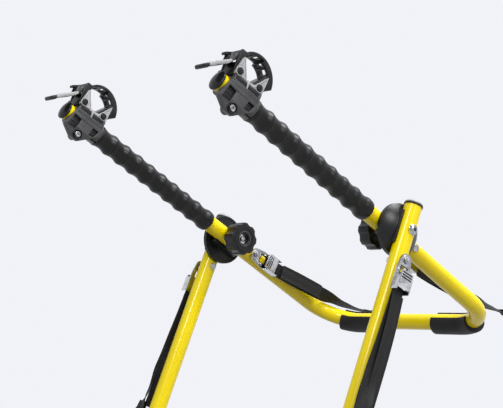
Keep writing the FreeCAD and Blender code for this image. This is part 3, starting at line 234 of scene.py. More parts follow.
class Effects:
    """The shared effects: a drifting tone, which on bright zinc is painted reflection, drifting roughness,
    moulded grain, edges lightened by rubbing, which on bright zinc are a painted highlight, and weave.
    """

    def __init__(self) -> None:
        """Builds every group once."""
        self.tone = self._tone()
        self.gloss = self._gloss()
        self.grain = self._grain()
        self.rubbed = self._rubbed()
        self.weave = self._weave()

    def _tone(self) -> EffectGroup:
        """A colour that drifts softly towards another over the surface; on bright zinc the dark second colour
        is painted reflection.

        Returns:
            The group.
        """
        group = EffectGroup("tone_drift", {"Scale": 20.0, "Amount": 0.5}, ("Colour", "Drift"))
        share = group.math("MULTIPLY", group.noise(detail=4.0), group.given["Amount"])
        group.feed(group.result, group.mix(share, group.given["Colour"], group.given["Drift"]))
        return group

    def _gloss(self) -> EffectGroup:
        """A roughness that drifts between two values.

        Returns:
            The group.
        """
        group = EffectGroup("gloss_drift", {"Low": 0.3, "High": 0.5, "Scale": 30.0})
        span = group.math("SUBTRACT", group.given["High"], group.given["Low"])
        spread = group.math("MULTIPLY", group.noise(detail=6.0), span)
        group.feed(group.result, group.math("ADD", spread, group.given["Low"]))
        return group

    def _grain(self) -> EffectGroup:
        """The fine texture of a mould or a coat: a cell pattern over soft noise, as a height.

        Returns:
            The group.
        """
        group = EffectGroup("moulded_grain", {"Scale": 1500.0, "Cells": 0.5})
        inputs = {label: group.given[label] for label in ("Vector", "Scale")}
        cells = group.add("TexVoronoi", inputs, feature="SMOOTH_F1")
        dimple = group.math("MULTIPLY", cells.outputs["Distance"], group.given["Cells"])
        group.feed(group.result, group.math("ADD", group.noise(detail=3.0), dimple))
        return group

    def _rubbed(self) -> EffectGroup:
        """A mask of the edges that hands and straps rub, broken up by noise; on bright zinc it lays a painted
        highlight along them.

        Returns:
            The group.
        """
        group = EffectGroup("rubbed_edges", {"Amount": 0.4, "Scale": 90.0})
        edge = group.add("NewGeometry").outputs["Pointiness"]
        lift = group.add("MapRange", {"Value": edge, "From Min": 0.505, "From Max": 0.6})
        broken = group.math("MULTIPLY", lift.outputs["Result"], group.noise(detail=2.0))
        group.feed(group.result, group.math("MULTIPLY", broken, group.given["Amount"]))
        return group

    def _weave(self) -> EffectGroup:
        """The diagonal ribs and cross threads of seat-belt webbing, over u across and v along in metres.

        Returns:
            The group.
        """
        group = EffectGroup("webbing_weave", {"Pitch": 0.0016})
        parts = group.add("SeparateXYZ", {"Vector": group.given["Vector"]})
        across, along = (group.math("DIVIDE", parts.outputs[axis], group.given["Pitch"]) for axis in "XY")
        fold = group.math("PINGPONG", across, 4.0)
        twill = group.math("SINE", group.math("MULTIPLY", group.math("ADD", along, fold), math.pi))
        cross = group.math("SINE", group.math("MULTIPLY", across, math.tau))
        lift = group.math("ADD", group.math("MULTIPLY", twill, 0.35), group.math("MULTIPLY", cross, 0.15))
        group.feed(group.result, group.math("ADD", lift, 0.5))
        return group


@dataclass(frozen=True)
class Finish:
    """A finish of one material, with the sizes of its detail in metres and per metre."""

    name: str
    colour: Triple
    drift: Triple
    drift_scale: float = 25.0
    drift_amount: float = 0.6
    gloss: Pair = (0.35, 0.5)
    gloss_scale: float = 60.0
    grain_scale: float = 1800.0
    grain_cells: float = 0.5
    grain_depth: float = 0.00006
    grain_strength: float = 0.3
    metallic: float = 0.0
    coat: float = 0.0
    coat_roughness: float = 0.1
    specular: float = 0.5
    rubbed: Optional[Triple] = None
    rubbed_amount: float = 0.5
    woven: bool = False
    thread_shade: float = 0.75

    def build(self, effects: Effects) -> bpy.types.Material:
        """Makes the material's nodes.

        Args:
            effects: The shared node groups.

        Returns:
            The material.
        """
        material = bpy.data.materials.new(self.name)
        material.use_nodes = True
        graph = Graph(material.node_tree)
        spot = graph.add("TexCoord").outputs["UV" if self.woven else "Object"]

        def effect(group: EffectGroup, **values: object) -> Socket:
            """Places a shared effect with its own values."""
            return graph.add("Group", {"Vector": spot, **values}, node_tree=group.tree).outputs[0]

        tones = {"Colour": linear(self.colour), "Drift": linear(self.drift)}
        colour = effect(effects.tone, Scale=self.drift_scale, Amount=self.drift_amount, **tones)
        # Lighter edges: wear from rubbing, and on bright zinc a painted highlight.
        if self.rubbed:
            colour = graph.mix(effect(effects.rubbed, Amount=self.rubbed_amount), colour, linear(self.rubbed))
        if self.woven:
            height = effect(effects.weave)
            # The weave's height also darkens the colour between its ribs: painted shade in the weave's
            # grooves.
            colour = graph.mix(self.thread_shade, colour, height, blend_type="MULTIPLY")
        else:
            height = effect(effects.grain, Scale=self.grain_scale, Cells=self.grain_cells)
        relief = {"Strength": self.grain_strength, "Distance": self.grain_depth, "Height": height}
        low, high = self.gloss
        for label, value in {
            "Base Color": colour, "Normal": graph.add("Bump", relief).outputs["Normal"],
            "Roughness": effect(effects.gloss, Low=low, High=high, Scale=self.gloss_scale),
            "Metallic": self.metallic, "Coat Weight": self.coat, "Coat Roughness": self.coat_roughness,
            "Specular IOR Level": self.specular,
        }.items():
            graph.feed(graph.tree.nodes["Principled BSDF"].inputs[label], value)
        return material


FINISHES: dict[Slot, Finish] = {
    Slot.YELLOW_PAINT: Finish(
        "yellow_powder_coat", (0.985, 0.885, 0.0), (0.97, 0.85, 0.0), drift_scale=9.0, gloss=(0.24, 0.34),
        gloss_scale=40.0, grain_scale=700.0, grain_cells=0.2, grain_depth=0.00005, grain_strength=0.15,
        coat=0.3, coat_roughness=0.12, specular=0.15,
    ),
    Slot.SLEEVE_RUBBER: Finish(
        "sleeve_rubber", (0.07, 0.07, 0.07), (0.045, 0.045, 0.045), drift_scale=14.0, gloss=(0.3, 0.4),
        grain_scale=1500.0, grain_depth=0.00005, specular=0.24, rubbed=(0.2, 0.2, 0.2), rubbed_amount=0.2,
    ),
    Slot.BLACK_PLASTIC: Finish(
        "black_moulding", (0.06, 0.06, 0.065), (0.04, 0.04, 0.045), gloss=(0.25, 0.36), grain_scale=2200.0,
        specular=0.3, rubbed=(0.2, 0.2, 0.21),
    ),
    # Bright zinc: its dark tone is painted reflection of dark surroundings, and its bright edges a painted
    # highlight.
    Slot.BRIGHT_ZINC: Finish(
        "bright_zinc_plate", (0.78, 0.78, 0.79), (0.16, 0.16, 0.17), drift_scale=150.0, drift_amount=0.95,
        gloss=(0.1, 0.28), gloss_scale=220.0, grain_scale=700.0, metallic=1.0, rubbed=(0.95, 0.95, 0.95),
        rubbed_amount=0.95,
    ),
    Slot.PAD_RUBBER: Finish(
        "pad_rubber", (0.11, 0.11, 0.11), (0.07, 0.07, 0.075), gloss=(0.5, 0.66), grain_scale=1300.0,
        grain_depth=0.00009, grain_strength=0.45, specular=0.22, rubbed=(0.22, 0.22, 0.22),
    ),
    Slot.CLAMP_GREY: Finish(
        "clamp_moulding", (0.235, 0.235, 0.24), (0.18, 0.18, 0.185), gloss=(0.26, 0.38), grain_scale=2000.0,
        specular=0.45, rubbed=(0.42, 0.42, 0.43), rubbed_amount=0.4,
    ),
    Slot.JAW_GREY: Finish(
        "jaw_casting", (0.66, 0.66, 0.66), (0.58, 0.58, 0.59), gloss=(0.3, 0.46), grain_scale=1400.0,
        grain_depth=0.00007, rubbed=(0.8, 0.8, 0.8),
    ),
    Slot.WEBBING: Finish(
        "woven_webbing", (0.105, 0.105, 0.105), (0.068, 0.068, 0.07), drift_scale=60.0, gloss=(0.5, 0.66),
        grain_depth=0.0004, grain_strength=0.8, specular=0.25, woven=True,
    ),
    Slot.HOOK_COAT: Finish(
        "dipped_coat", (0.085, 0.085, 0.09), (0.06, 0.06, 0.065), gloss=(0.3, 0.42), grain_scale=500.0,
        specular=0.25, rubbed=(0.2, 0.2, 0.2),
    ),
}


# Modelling tools


class Bench:
    """The tools that pieces are made with. Lengths are in millimetres unless a docstring says metres.

    A ring's edge is rounded by a width, or a share of its wall or of its height where that is less. An arch
    has a step every few degrees, and a fewest number of them. A skin's angles are in degrees.
    """

    RING_SIDES = 40
    RING_EDGE = 0.3
    WALL_SHARE = 0.25
    HEIGHT_SHARE = 0.4
    ARCH_STEP = 4.0
    ARCH_FEWEST = 6
    SKIN_MERGE = 0.003
    SKIN_FLAT = 0.6
    SKIN_SHARP = 35.0

    def __init__(self, frame: dict, materials: dict[Slot, bpy.types.Material]) -> None:
        """Keeps the loaded frame and the materials.

        Args:
            materials: The material of each slot.
        """
        self.nodes: dict[str, Piece] = frame["nodes"]
        self.materials = materials
        self.slots = {row["node"]: Slot(row["material_slot"]) for row in frame["record"]["subparts"]}
        self.bodies: dict[str, str] = {
            node: body for body, nodes in frame["record"]["behaviour"]["bodies"].items() for node in nodes
        }

    @staticmethod
    def pick(obj: Piece) -> None:
        """Selects one object alone and makes it active.

        Args:
            obj: The object.
        """
        bpy.ops.object.select_all(action="DESELECT")
        obj.select_set(True)
        bpy.context.view_layer.objects.active = obj

    @classmethod
    @contextmanager
    def editing(cls, obj: Piece) -> Iterator[None]:
        """Edit mode on one object, with all of it selected.

        Args:
            obj: The object.

        Yields:
            Nothing, while edit mode is on.
        """
        cls.pick(obj)
        bpy.ops.object.mode_set(mode="EDIT")
        bpy.ops.mesh.select_all(action="SELECT")
        yield
        bpy.ops.object.mode_set(mode="OBJECT")

    @classmethod
    def settle(cls, obj: Piece, matrix: Optional[Matrix] = None) -> Piece:
        """Moves an object by a matrix, where it has one, and applies its place to its mesh.

        Args:
            obj: The object.
            matrix: The move.

        Returns:
            The object.
        """
        cls.pick(obj)
        if matrix is not None:
            obj.matrix_world = matrix
        bpy.ops.object.transform_apply(location=True, rotation=True, scale=True)
        return obj

    @classmethod
    def tidy(cls, obj: Piece, merge: float = 0.002) -> None:
        """Merges doubles and turns all faces outwards.

        Args:
            obj: The piece.
            merge: How far apart doubles may be.
        """
        with cls.editing(obj):
            bpy.ops.mesh.remove_doubles(threshold=merge * MM)
            bpy.ops.mesh.normals_make_consistent(inside=False)

    @classmethod
    def bevel(cls, obj: Piece, width: float, segments: int = 2, angle: float = 40.0) -> None:
        """Rounds the edges that are sharper than an angle in degrees.

        Args:
            obj: The piece.
            width: The width of a rounded edge.
            segments: Its steps.
            angle: The angle.
        """
        cls.pick(obj)
        modifier = obj.modifiers.new("rounding", "BEVEL")
        modifier.width = width * MM
        modifier.segments = segments
        modifier.limit_method = "ANGLE"
        modifier.angle_limit = math.radians(angle)
        bpy.ops.object.modifier_apply(modifier=modifier.name)

    @classmethod
    def smooth(cls, obj: Piece, angle: float = 40.0) -> None:
        """Smooths the shading except over edges sharper than an angle in degrees."""
        cls.pick(obj)
        bpy.ops.object.shade_smooth_by_angle(angle=math.radians(angle))

    @staticmethod
    def twin(obj: Piece, name: str, matrix: Matrix) -> Piece:
        """Copies a piece with its mesh.

        Args:
            obj: The piece.
            name: The copy's name.
            matrix: The copy's move, which may mirror it.

        Returns:
            The copy.
        """
        copy = obj.copy()
        copy.data = obj.data.copy()
        copy.name = name
        bpy.context.scene.collection.objects.link(copy)
        copy.data.transform(matrix)
        if matrix.determinant() < 0:
            copy.data.flip_normals()
        copy.data.update()
        return copy

    @classmethod
    def join(cls, pieces: Sequence[Piece]) -> Piece:
        """Joins pieces into the first of them.

        Args:
            pieces: The pieces.

        Returns:
            The first piece.
        """
        cls.pick(pieces[0])
        for other in pieces[1:]:
            other.select_set(True)
        bpy.ops.object.join()
        return pieces[0]

    @classmethod
    def lathe(cls, profile: Sequence[Pair], sides: int) -> Piece:
        """Turns a closed profile round Z, ring by ring.

        Args:
            profile: Radius and height of each ring, ending where it starts.
            sides: How many sides each ring has.

        Returns:
            The turned piece.
        """
        bpy.ops.object.select_all(action="DESELECT")
        radius, height = profile[0]
        bpy.ops.mesh.primitive_circle_add(vertices=sides, radius=radius * MM, location=(0, 0, height * MM))
        obj = cls.settle(bpy.context.object)
        with cls.editing(obj):
            for wide, high in profile[1:]:
                rise = (0, 0, (high - height) * MM)
                bpy.ops.mesh.extrude_region_move(TRANSFORM_OT_translate={"value": rise})
                ratio = wide / radius
                bpy.ops.transform.resize(value=(ratio, ratio, 1), center_override=(0, 0, high * MM))
                radius, height = wide, high
        cls.tidy(obj)
        return obj

    @staticmethod
    def polygon(corners: Sequence[Triple]) -> Piece:
        """A flat face through given corners.

        Args:
            corners: The corners.

        Returns:
            The face.
        """
        bpy.ops.object.select_all(action="DESELECT")
        bpy.ops.mesh.primitive_circle_add(vertices=len(corners), radius=MM, fill_type="NGON")
        obj = bpy.context.object
        for vertex, corner in zip(obj.data.vertices, corners):
            vertex.co = Vector(corner) * MM
        return obj

    @classmethod
    def slab(
        cls, outline: Sequence[Pair], near: float, thick: float, rounding: float = 0.25, border: float = 0.0,
    ) -> Piece:
        """A flat piece across X with rounded edges, or only a border of it.

        Args:
            outline: Its corners, as y and z.
            near: The x of its first face.
            thick: How far it goes along X from there.
            rounding: The width of its rounded edges.
            border: The border's width, or 0 for the whole piece.

        Returns:
            The piece.
        """
        obj = cls.polygon([(near, up, along) for up, along in outline])
        with cls.editing(obj):
            if border:
                bpy.ops.mesh.inset(thickness=border * MM, depth=0)
                bpy.ops.mesh.delete(type="FACE")
                bpy.ops.mesh.select_all(action="SELECT")
            bpy.ops.mesh.extrude_region_move(TRANSFORM_OT_translate={"value": (thick * MM, 0, 0)})
        cls.tidy(obj)
        cls.bevel(obj, rounding, angle=30.0)
        return obj

    @classmethod
    def ring(cls, bore: float, outer: float, thick: float, near: float, middle: Pair = (0.0, 0.0)) -> Piece:
        """A flat ring with a rounded upper edge, its axis along X.

        Args:
            bore: Its inner radius.
            outer: Its outer radius.
            thick: How far it goes along X from its foot.
            near: The x of its foot.
            middle: Its axis's y and z.

        Returns:
            The ring.
        """
        low, high = sorted((near, near + thick))
        edge = min(cls.RING_EDGE, (outer - bore) * cls.WALL_SHARE, (high - low) * cls.HEIGHT_SHARE)
        profile = [
            (bore, low), (outer, low), (outer, high - edge), (outer - edge, high), (bore + edge, high),
            (bore, high - edge), (bore, low),
        ]
        turn = Matrix.Rotation(math.radians(90), 4, "Y")
        place = Matrix.Translation((0, middle[0] * MM, middle[1] * MM))
        return cls.settle(cls.lathe(profile, cls.RING_SIDES), place @ turn)

    @classmethod
    def arch(cls, section: Sequence[Pair], middle: Pair, first: float, sweep: float) -> Piece:
        """A section swept round an axis along X.

        Args:
            section: The section's corners, as x and radius.
            middle: The axis's y and z.
            first: The angle that it starts at, from z upwards, in degrees.
            sweep: The angle that it spans, in degrees.

        Returns:
            The swept piece.
        """
        up, along = middle
        sine, cosine = math.sin(math.radians(first)), math.cos(math.radians(first))
        obj = cls.polygon([(x, up + radius * sine, along + radius * cosine) for x, radius in section])
        centre = (0, up * MM, along * MM)
        steps = max(cls.ARCH_FEWEST, round(sweep / cls.ARCH_STEP))
        with cls.editing(obj):
            bpy.ops.mesh.spin(steps=steps, angle=math.radians(sweep), center=centre, axis=(-1, 0, 0))
        cls.tidy(obj)
        with cls.editing(obj):
            bpy.ops.mesh.fill_holes(sides=0)
        cls.tidy(obj)
        return obj

    @staticmethod
    def shell(name: str, rings: Sequence[list[Vector]], widths: Optional[Sequence[float]] = None) -> Piece:
        """A closed skin through rings of points in metres, with its two ends filled.

        Args:
            name: The piece's name.
            rings: Rings with the same number of points each.
            widths: The u of each point of a ring, where the piece gets a UV map in metres.

        Returns:
            The piece.
        """
        count = len(rings[0])
        points = [point for ring in rings for point in ring]
        faces = [tuple(reversed(range(count))), tuple(range(len(points) - count, len(points)))]
        for row in range(0, len(points) - count, count):
            for index in range(count):
                after = (index + 1) % count
                faces.append((row + index, row + after, row + count + after, row + count + index))
        mesh = bpy.data.meshes.new(name)
        mesh.from_pydata([tuple(point) for point in points], [], faces)
        obj = bpy.data.objects.new(name, mesh)
        bpy.context.scene.collection.objects.link(obj)
        if widths is not None:
            along = [0.0]
            for near, far in zip(rings, rings[1:]):
                along.append(along[-1] + (sum(far, Vector()) / count - sum(near, Vector()) / count).length)
            layer = mesh.uv_layers.new(name="weave")
            for loop in mesh.loops:
                row, index = divmod(loop.vertex_index, count)
                layer.data[loop.index].uv = (widths[index], along[row])
        mesh.update()
        return obj

    def dress(self, obj: Piece, slot: Slot, body: str, nodes: Iterable[str] = ()) -> Piece:
        """Gives a piece its finish, its body and the nodes that it stands for.

        Args:
            obj: The piece.
            slot: Its material slot.
            body: The body that it rides on.
            nodes: The nodes that it replaces.

        Returns:
            The piece.
        """
        obj.data.materials.clear()
        obj.data.materials.append(self.materials[slot])
        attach(obj, body)
        names = list(nodes)
        if names:
            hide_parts(*names)
        LOG.info("%s rides on %s, %d faces", obj.name, body, len(obj.data.polygons))
        return obj

    def fit(self, pieces: Sequence[Piece], slot: Slot, places: Iterable[tuple], angle: float = 40.0) -> None:
        """Joins pieces and sets a dressed copy of them in each place.

        Args:
            pieces: The pieces, which only the copies outlast.
            slot: The copies' material slot.
            places: Each copy's name, body and move, and the nodes that it replaces, if any.
            angle: The angle in degrees over which edges stay sharp.
        """
        model = self.join(pieces)
        for name, body, matrix, *nodes in places:
            copy = self.twin(model, name, matrix)
            self.smooth(copy, angle)
            self.dress(copy, slot, body, nodes)
        bpy.data.objects.remove(model)

    def skin(self, node: str, rounding: float, segments: int) -> Piece:
        """A merged, rounded and smoothed skin over a node, which it replaces.

        Args:
            node: The node's name.
            rounding: The width of its rounded edges.
            segments: The steps of each rounded edge.

        Returns:
            The skin.
        """
        obj = self.twin(self.nodes[node], f"{node}_skin", Matrix.Identity(4))
        obj.parent = None
        obj.matrix_world = Matrix.Identity(4)
        with self.editing(obj):
            bpy.ops.mesh.remove_doubles(threshold=self.SKIN_MERGE * MM)
            bpy.ops.mesh.dissolve_limited(angle_limit=math.radians(self.SKIN_FLAT))
        self.bevel(obj, rounding, segments)
        self.smooth(obj, self.SKIN_SHARP)
        return self.dress(obj, self.slots[node], self.bodies[node], [node])


# Sub-assemblies


@dataclass
class Skins:
    """The pieces whose turned and cut shapes only need skins: each with its rounding and the steps of that.

    A row's nodes have its name, or its name with each side's.
    """

    rows: tuple[tuple[str, float, int], ...] = (
        ("arm_end_cap", 0.6, 2), ("leg_end_cap", 0.6, 2), ("frame_hub_plate", 0.5, 2),
        ("leg_hub_dome", 0.6, 2), ("hub_knob", 1.3, 3), ("knob_washer", 0.2, 1), ("knob_nut", 0.3, 2),
        ("pivot_bolt", 0.2, 2), ("clamp_body", 0.6, 2), ("clamp_bolt", 0.4, 2), ("cradle_bracket", 0.5, 2),
        ("jaw_pins", 0.4, 2), ("cradle_rubber", 0.4, 2), ("ladder_strap", 0.5, 2), ("ratchet_base", 0.5, 2),
        ("ratchet_lever", 0.7, 2), ("release_tab", 0.4, 2), ("upper_buckle", 0.25, 2),
        ("lower_buckle", 0.25, 2), ("upper_cam", 0.25, 2), ("lower_cam", 0.25, 2), ("upper_hook", 0.8, 3),
        ("lower_hook", 0.8, 3), ("upper_strap_bolts", 0.3, 2), ("lower_strap_bolts", 0.3, 2),
    )

    def build(self, bench: Bench) -> None:
        """Makes every skin.

        Args:
            bench: The modelling tools.
        """
        for stem, rounding, segments in self.rows:
            for node in [stem] if stem in bench.nodes else [f"{stem}_{side.word}" for side in Side]:
                bench.skin(node, rounding, segments)


@dataclass
class FrameTubes:
    """The two bent tubes, each swept as one smooth skin from arm to arm or leg to leg."""

    sides: int = 64
    bend_steps: int = 30
    top_ring: float = 0.5

    def ring(self, tube: BentTube, side: Side, x: float, z: float, heading: float = 0.0) -> list[Vector]:
        """One ring of a tube.

        Args:
            tube: The tube.
            side: The side of the carrier.
            x: The middle's x on the right-hand side.
            z: The middle's z.
            heading: How far the tube has turned into the crossbar, in radians.

        Returns:
            The ring's points in the world.
        """
        out = Vector((side.value * math.cos(heading), 0, -math.sin(heading)))
        points = []
        for step in range(self.sides):
            angle = math.tau * step / self.sides * side.value
            spot = Vector((side.value * x, 0, z)) + out * (TUBE * math.cos(angle))
            spot.y += TUBE * math.sin(angle)
            points.append(tube.place(*spot))
        return points

    def half(self, tube: BentTube, side: Side) -> list[list[Vector]]:
        """The rings of one side of a tube, from its top to the crossbar.

        Args:
            tube: The tube.
            side: The side of the carrier.

        Returns:
            The rings' points in the world.
        """
        rings = [self.ring(tube, side, tube.half, z) for z in (tube.top, tube.top - self.top_ring)]
        for step in range(self.bend_steps + 1):
            heading = math.pi / 2 * step / self.bend_steps
            x = tube.half - BEND + BEND * math.cos(heading)
            z = BEND - tube.drop - BEND * math.sin(heading)
            rings.append(self.ring(tube, side, x, z, heading))
        return rings

    def build(self, bench: Bench) -> None:
        """Makes both tubes.

        Args:
            bench: The modelling tools.
        """
        for tube in (ARM, LEG):
            left = [[ring[0]] + ring[:0:-1] for ring in self.half(tube, Side.LEFT)]
            piece = bench.shell(f"{tube.name}_tube", self.half(tube, Side.RIGHT) + left[::-1])
            bench.tidy(piece)
            bench.smooth(piece)
            bench.dress(piece, Slot.YELLOW_PAINT, tube.body, [f"{tube.body}_tube"])


@dataclass
class ClampTrim:
    """The bike clamps' fitted trim, in the arm's frame: grilles, bolt cups, ear borders, rails and grips; the
    black grille inserts and bolt cups are painted shade, and the rails' pale grey is partly a painted
    highlight.

    A pair is a y and a z, and a triple is a ring's two radii and its thickness. A rail's slopes are the two
    of its crown, and its hem is how far past the strap's inner face its side, its corner and its root end.
    """

    face: float = 20.0
    floor: float = 16.0
    tip_window: Outline = ((-2.6, 389.5), (-24.4, 393.6), (-22.9, 377.2), (-4.1, 374.5))
    hub_window: Outline = ((-3.3, 349.5), (-17.8, 352.0), (-16.3, 341.5), (-3.3, 337.0))
    tip_bars: int = 3
    hub_bars: int = 2
    insert_share: float = 0.97
    insert_at: float = 0.05
    insert_thick: float = 0.8
    bars_share: float = 0.9
    bar_half: float = 0.55
    bar_at: float = 0.6
    bar_thick: float = 0.9
    bar_round: float = 0.2
    pins: Outline = ((23.5, 384.5), (23.5, 343.5))
    pin_collar: Triple = (5.35, 6.9, 1.1)
    bolt: Pair = (-28.0, 368.0)
    # The bolt's black cup and seat are painted shade in its recess.
    bolt_cup: Triple = (6.9, 7.9, 4.2)
    bolt_seat: Triple = (3.2, 7.3, 0.4)
    seat_at: float = 0.05
    cup_floor: float = 15.0
    ears: tuple[Outline, ...] = (
        ((18.6, 389.6), (47.2, 385.7), (46.2, 384.4), (20.9, 368.6), (18.6, 369.2)),
        ((18.6, 335.0), (47.0, 335.0), (46.4, 336.0), (22.6, 350.8), (18.6, 352.0)),
    )
    ear_border: float = 1.3
    ear_rise: float = 0.7
    ear_round: float = 0.2
    spike: Outline = ((21.6, 361.6), (21.6, 366.4), (8.4, 362.4), (8.4, 361.2))
    spike_rise: float = 0.9
    strap_middle: Pair = (36.0, 354.0)
    strap_inner: float = 32.5
    strap_outer: float = 36.5
    strap_half: float = 12.0
    strap_sweep: Pair = (24.0, 146.0)
    rail_out: float = 0.12
    rail_width: float = 2.3
    rail_rise: float = 0.45
    rail_slopes: Pair = (0.4, 0.5)
    rail_hem: Triple = (0.6, 0.2, 0.4)
    lever_from: Pair = (4.0, 428.5)
    lever_to: Pair = (-1.0, 433.0)
    lever_half: float = 11.6
    lever_line: Outline = (
        (35.0, 397.6), (29.0, 402.1), (22.5, 409.4), (15.5, 418.0), (10.0, 423.0), (4.6, 428.0),
    )
    lever_thick: tuple[float, ...] = (2.2, 2.8, 3.1, 3.1, 3.0, 2.8)
    grip_root: Outline = ((0.0, -2.5), (0.0, 2.5))
    grip_tip: Outline = ((-2.0, 3.4), (0.5, 2.2), (0.5, -2.2), (-2.0, -3.4))
    back_past: float = 0.25
    back_round: float = 1.2
    grip_past: float = 0.5
    grip_round: float = 0.7
    ridges: Outline = ((1.8, 2.75), (4.0, 2.92))
    ridge: Outline = ((-0.5, -0.5), (0.5, -0.5), (0.3, 0.45), (-0.3, 0.45))
    ridge_inset: float = 2.0
    ridge_round: float = 0.15

    @staticmethod
    def shrunk(points: Sequence[Pair], by: float) -> list[Vector]:
        """An outline drawn in towards its middle by a share of its size."""
        middle = sum((Vector(point) for point in points), Vector((0.0, 0.0))) / len(points)
        return [middle.lerp(Vector(point), by) for point in points]

    def grille(self, window: Sequence[Pair], bars: int) -> Piece:
        """A black insert at the bottom of a window, painted shade of its pocket, with slanting bars across
        it.

        Args:
            window: The window's corners, the two on the tip's side first.
            bars: How many bars it has.

        Returns:
            The insert.
        """
        insert = [tuple(corner) for corner in self.shrunk(window, self.insert_share)]
        pieces = [Bench.slab(insert, self.floor + self.insert_at, self.insert_thick)]
        top_tip, low_tip, low_hub, top_hub = self.shrunk(window, self.bars_share)
        way = (low_tip - top_tip).normalized() * self.bar_half
        for index in range(bars):
            share = (index + 0.5) / bars
            one, two = top_tip.lerp(low_tip, share), top_hub.lerp(low_hub, share)
            corners = [tuple(one - way), tuple(one + way), tuple(two + way), tuple(two - way)]
            pieces.append(Bench.slab(corners, self.floor + self.bar_at, self.bar_thick, self.bar_round))
        return Bench.join(pieces)

    def dark_trim(self) -> list[Piece]:
        """The window grilles and the bolt's cup and seat, in black: painted shade in the window pockets and
        the bolt's recess.

        Returns:
            The pieces.
        """
        return [
            self.grille(self.tip_window, self.tip_bars),
            self.grille(self.hub_window, self.hub_bars),
            Bench.ring(*self.bolt_cup, self.cup_floor + SINK, self.bolt),
            Bench.ring(*self.bolt_seat, self.cup_floor + self.seat_at, self.bolt),
        ]

    def pale_trim(self) -> list[Piece]:
        """The borders of the ears, the spike between them and the pins' collars, on both faces.

        Returns:
            The pieces.
        """
        pieces = []
        for way in (1, -1):
            foot = way * (self.face - SINK)
            for ear in self.ears:
                pieces.append(Bench.slab(ear, foot, way * self.ear_rise, self.ear_round, self.ear_border))
            pieces.append(Bench.slab(self.spike, foot, way * self.spike_rise))
            for pin in self.pins:
                bore, outer, thick = self.pin_collar
                pieces.append(Bench.ring(bore, outer, way * thick, foot, pin))
        return pieces

    def strap_rails(self) -> list[Piece]:
        """The pale rails along the ladder strap's two edges, their grey partly a painted highlight of the
        strap's lit rim.

        Returns:
            The pieces.
        """
        rails = []
        inward, outward = self.rail_slopes
        side, corner, root = self.rail_hem
        for way in (1, -1):
            outer, inner = way * (self.strap_half + self.rail_out), way * (self.strap_half - self.rail_width)
            crown = self.strap_outer + self.rail_rise
            section = [
                (inner, self.strap_outer - SINK), (inner + way * inward, crown),
                (outer - way * outward, crown), (outer, self.strap_outer), (outer, self.strap_inner + side),
                (outer - way * inward, self.strap_inner + corner), (inner, self.strap_inner + root),
            ]
            rails.append(Bench.arch(section, self.strap_middle, *self.strap_sweep))
        return rails

    def lever_grip(self) -> list[Piece]:
        """The dark grip over a lever's thumb end, with ridges on top.

        Returns:
            The pieces.
        """
        near, far = Vector(self.lever_from), Vector(self.lever_to)
        ahead = (far - near).normalized()
        across = Vector((ahead.y, -ahead.x))

        def corners(spot: Vector, steps: Sequence[Pair]) -> list[Pair]:
            """The points that are steps along and across the lever from a spot."""
            return [tuple(spot + ahead * go + across * off) for go, off in steps]

        half, inner = self.lever_half + self.grip_past, self.lever_half - self.ridge_inset
        body = corners(far, self.grip_tip) + corners(near, self.grip_root)
        pieces = [Bench.slab(body, -half, 2 * half, self.grip_round)]
        for go, off in self.ridges:
            ridge = corners(near + ahead * go + across * off, self.ridge)
            pieces.append(Bench.slab(ridge, -inner, 2 * inner, self.ridge_round))
        return pieces

    def lever_back(self) -> list[Piece]:
        """The full, rounded body of a lever below its tab.

        Returns:
            The pieces.
        """
        spots = [Vector(spot) for spot in self.lever_line]
        above, below = [], []
        befores, afters = spots[:1] + spots[:-1], spots[1:] + spots[-1:]
        for spot, before, after, thick in zip(spots, befores, afters, self.lever_thick):
            ahead = (after - before).normalized()
            across = Vector((ahead.y, -ahead.x)) * thick
            above.append(tuple(spot + across))
            below.append(tuple(spot - across))
        half = self.lever_half + self.back_past
        return [Bench.slab(above + below[::-1], -half, 2 * half, self.back_round)]

    def build(self, bench: Bench) -> None:
        """Makes the trim once and sets a copy on each clamp, its straps and its lever.

        Args:
            bench: The modelling tools.
        """
        for body, slot, pieces in (
            # The black grilles and bolt cup paint shade into the windows and the bolt's recess.
            ("clamp", Slot.BLACK_PLASTIC, self.dark_trim()),
            ("clamp", Slot.JAW_GREY, self.pale_trim()),
            # Grey rails: partly a painted highlight along the strap's lit rim.
            ("ladder_strap", Slot.CLAMP_GREY, self.strap_rails()),
            ("lever", Slot.BLACK_PLASTIC, self.lever_grip()),
            ("lever", Slot.JAW_GREY, self.lever_back()),
        ):
            bench.fit(pieces, slot, [(
                f"{body}_trim_{slot.value}_{side.word}", f"{body}_{side.word}",
                ARM.matrix(side.value * ARM.half),
            ) for side in Side])


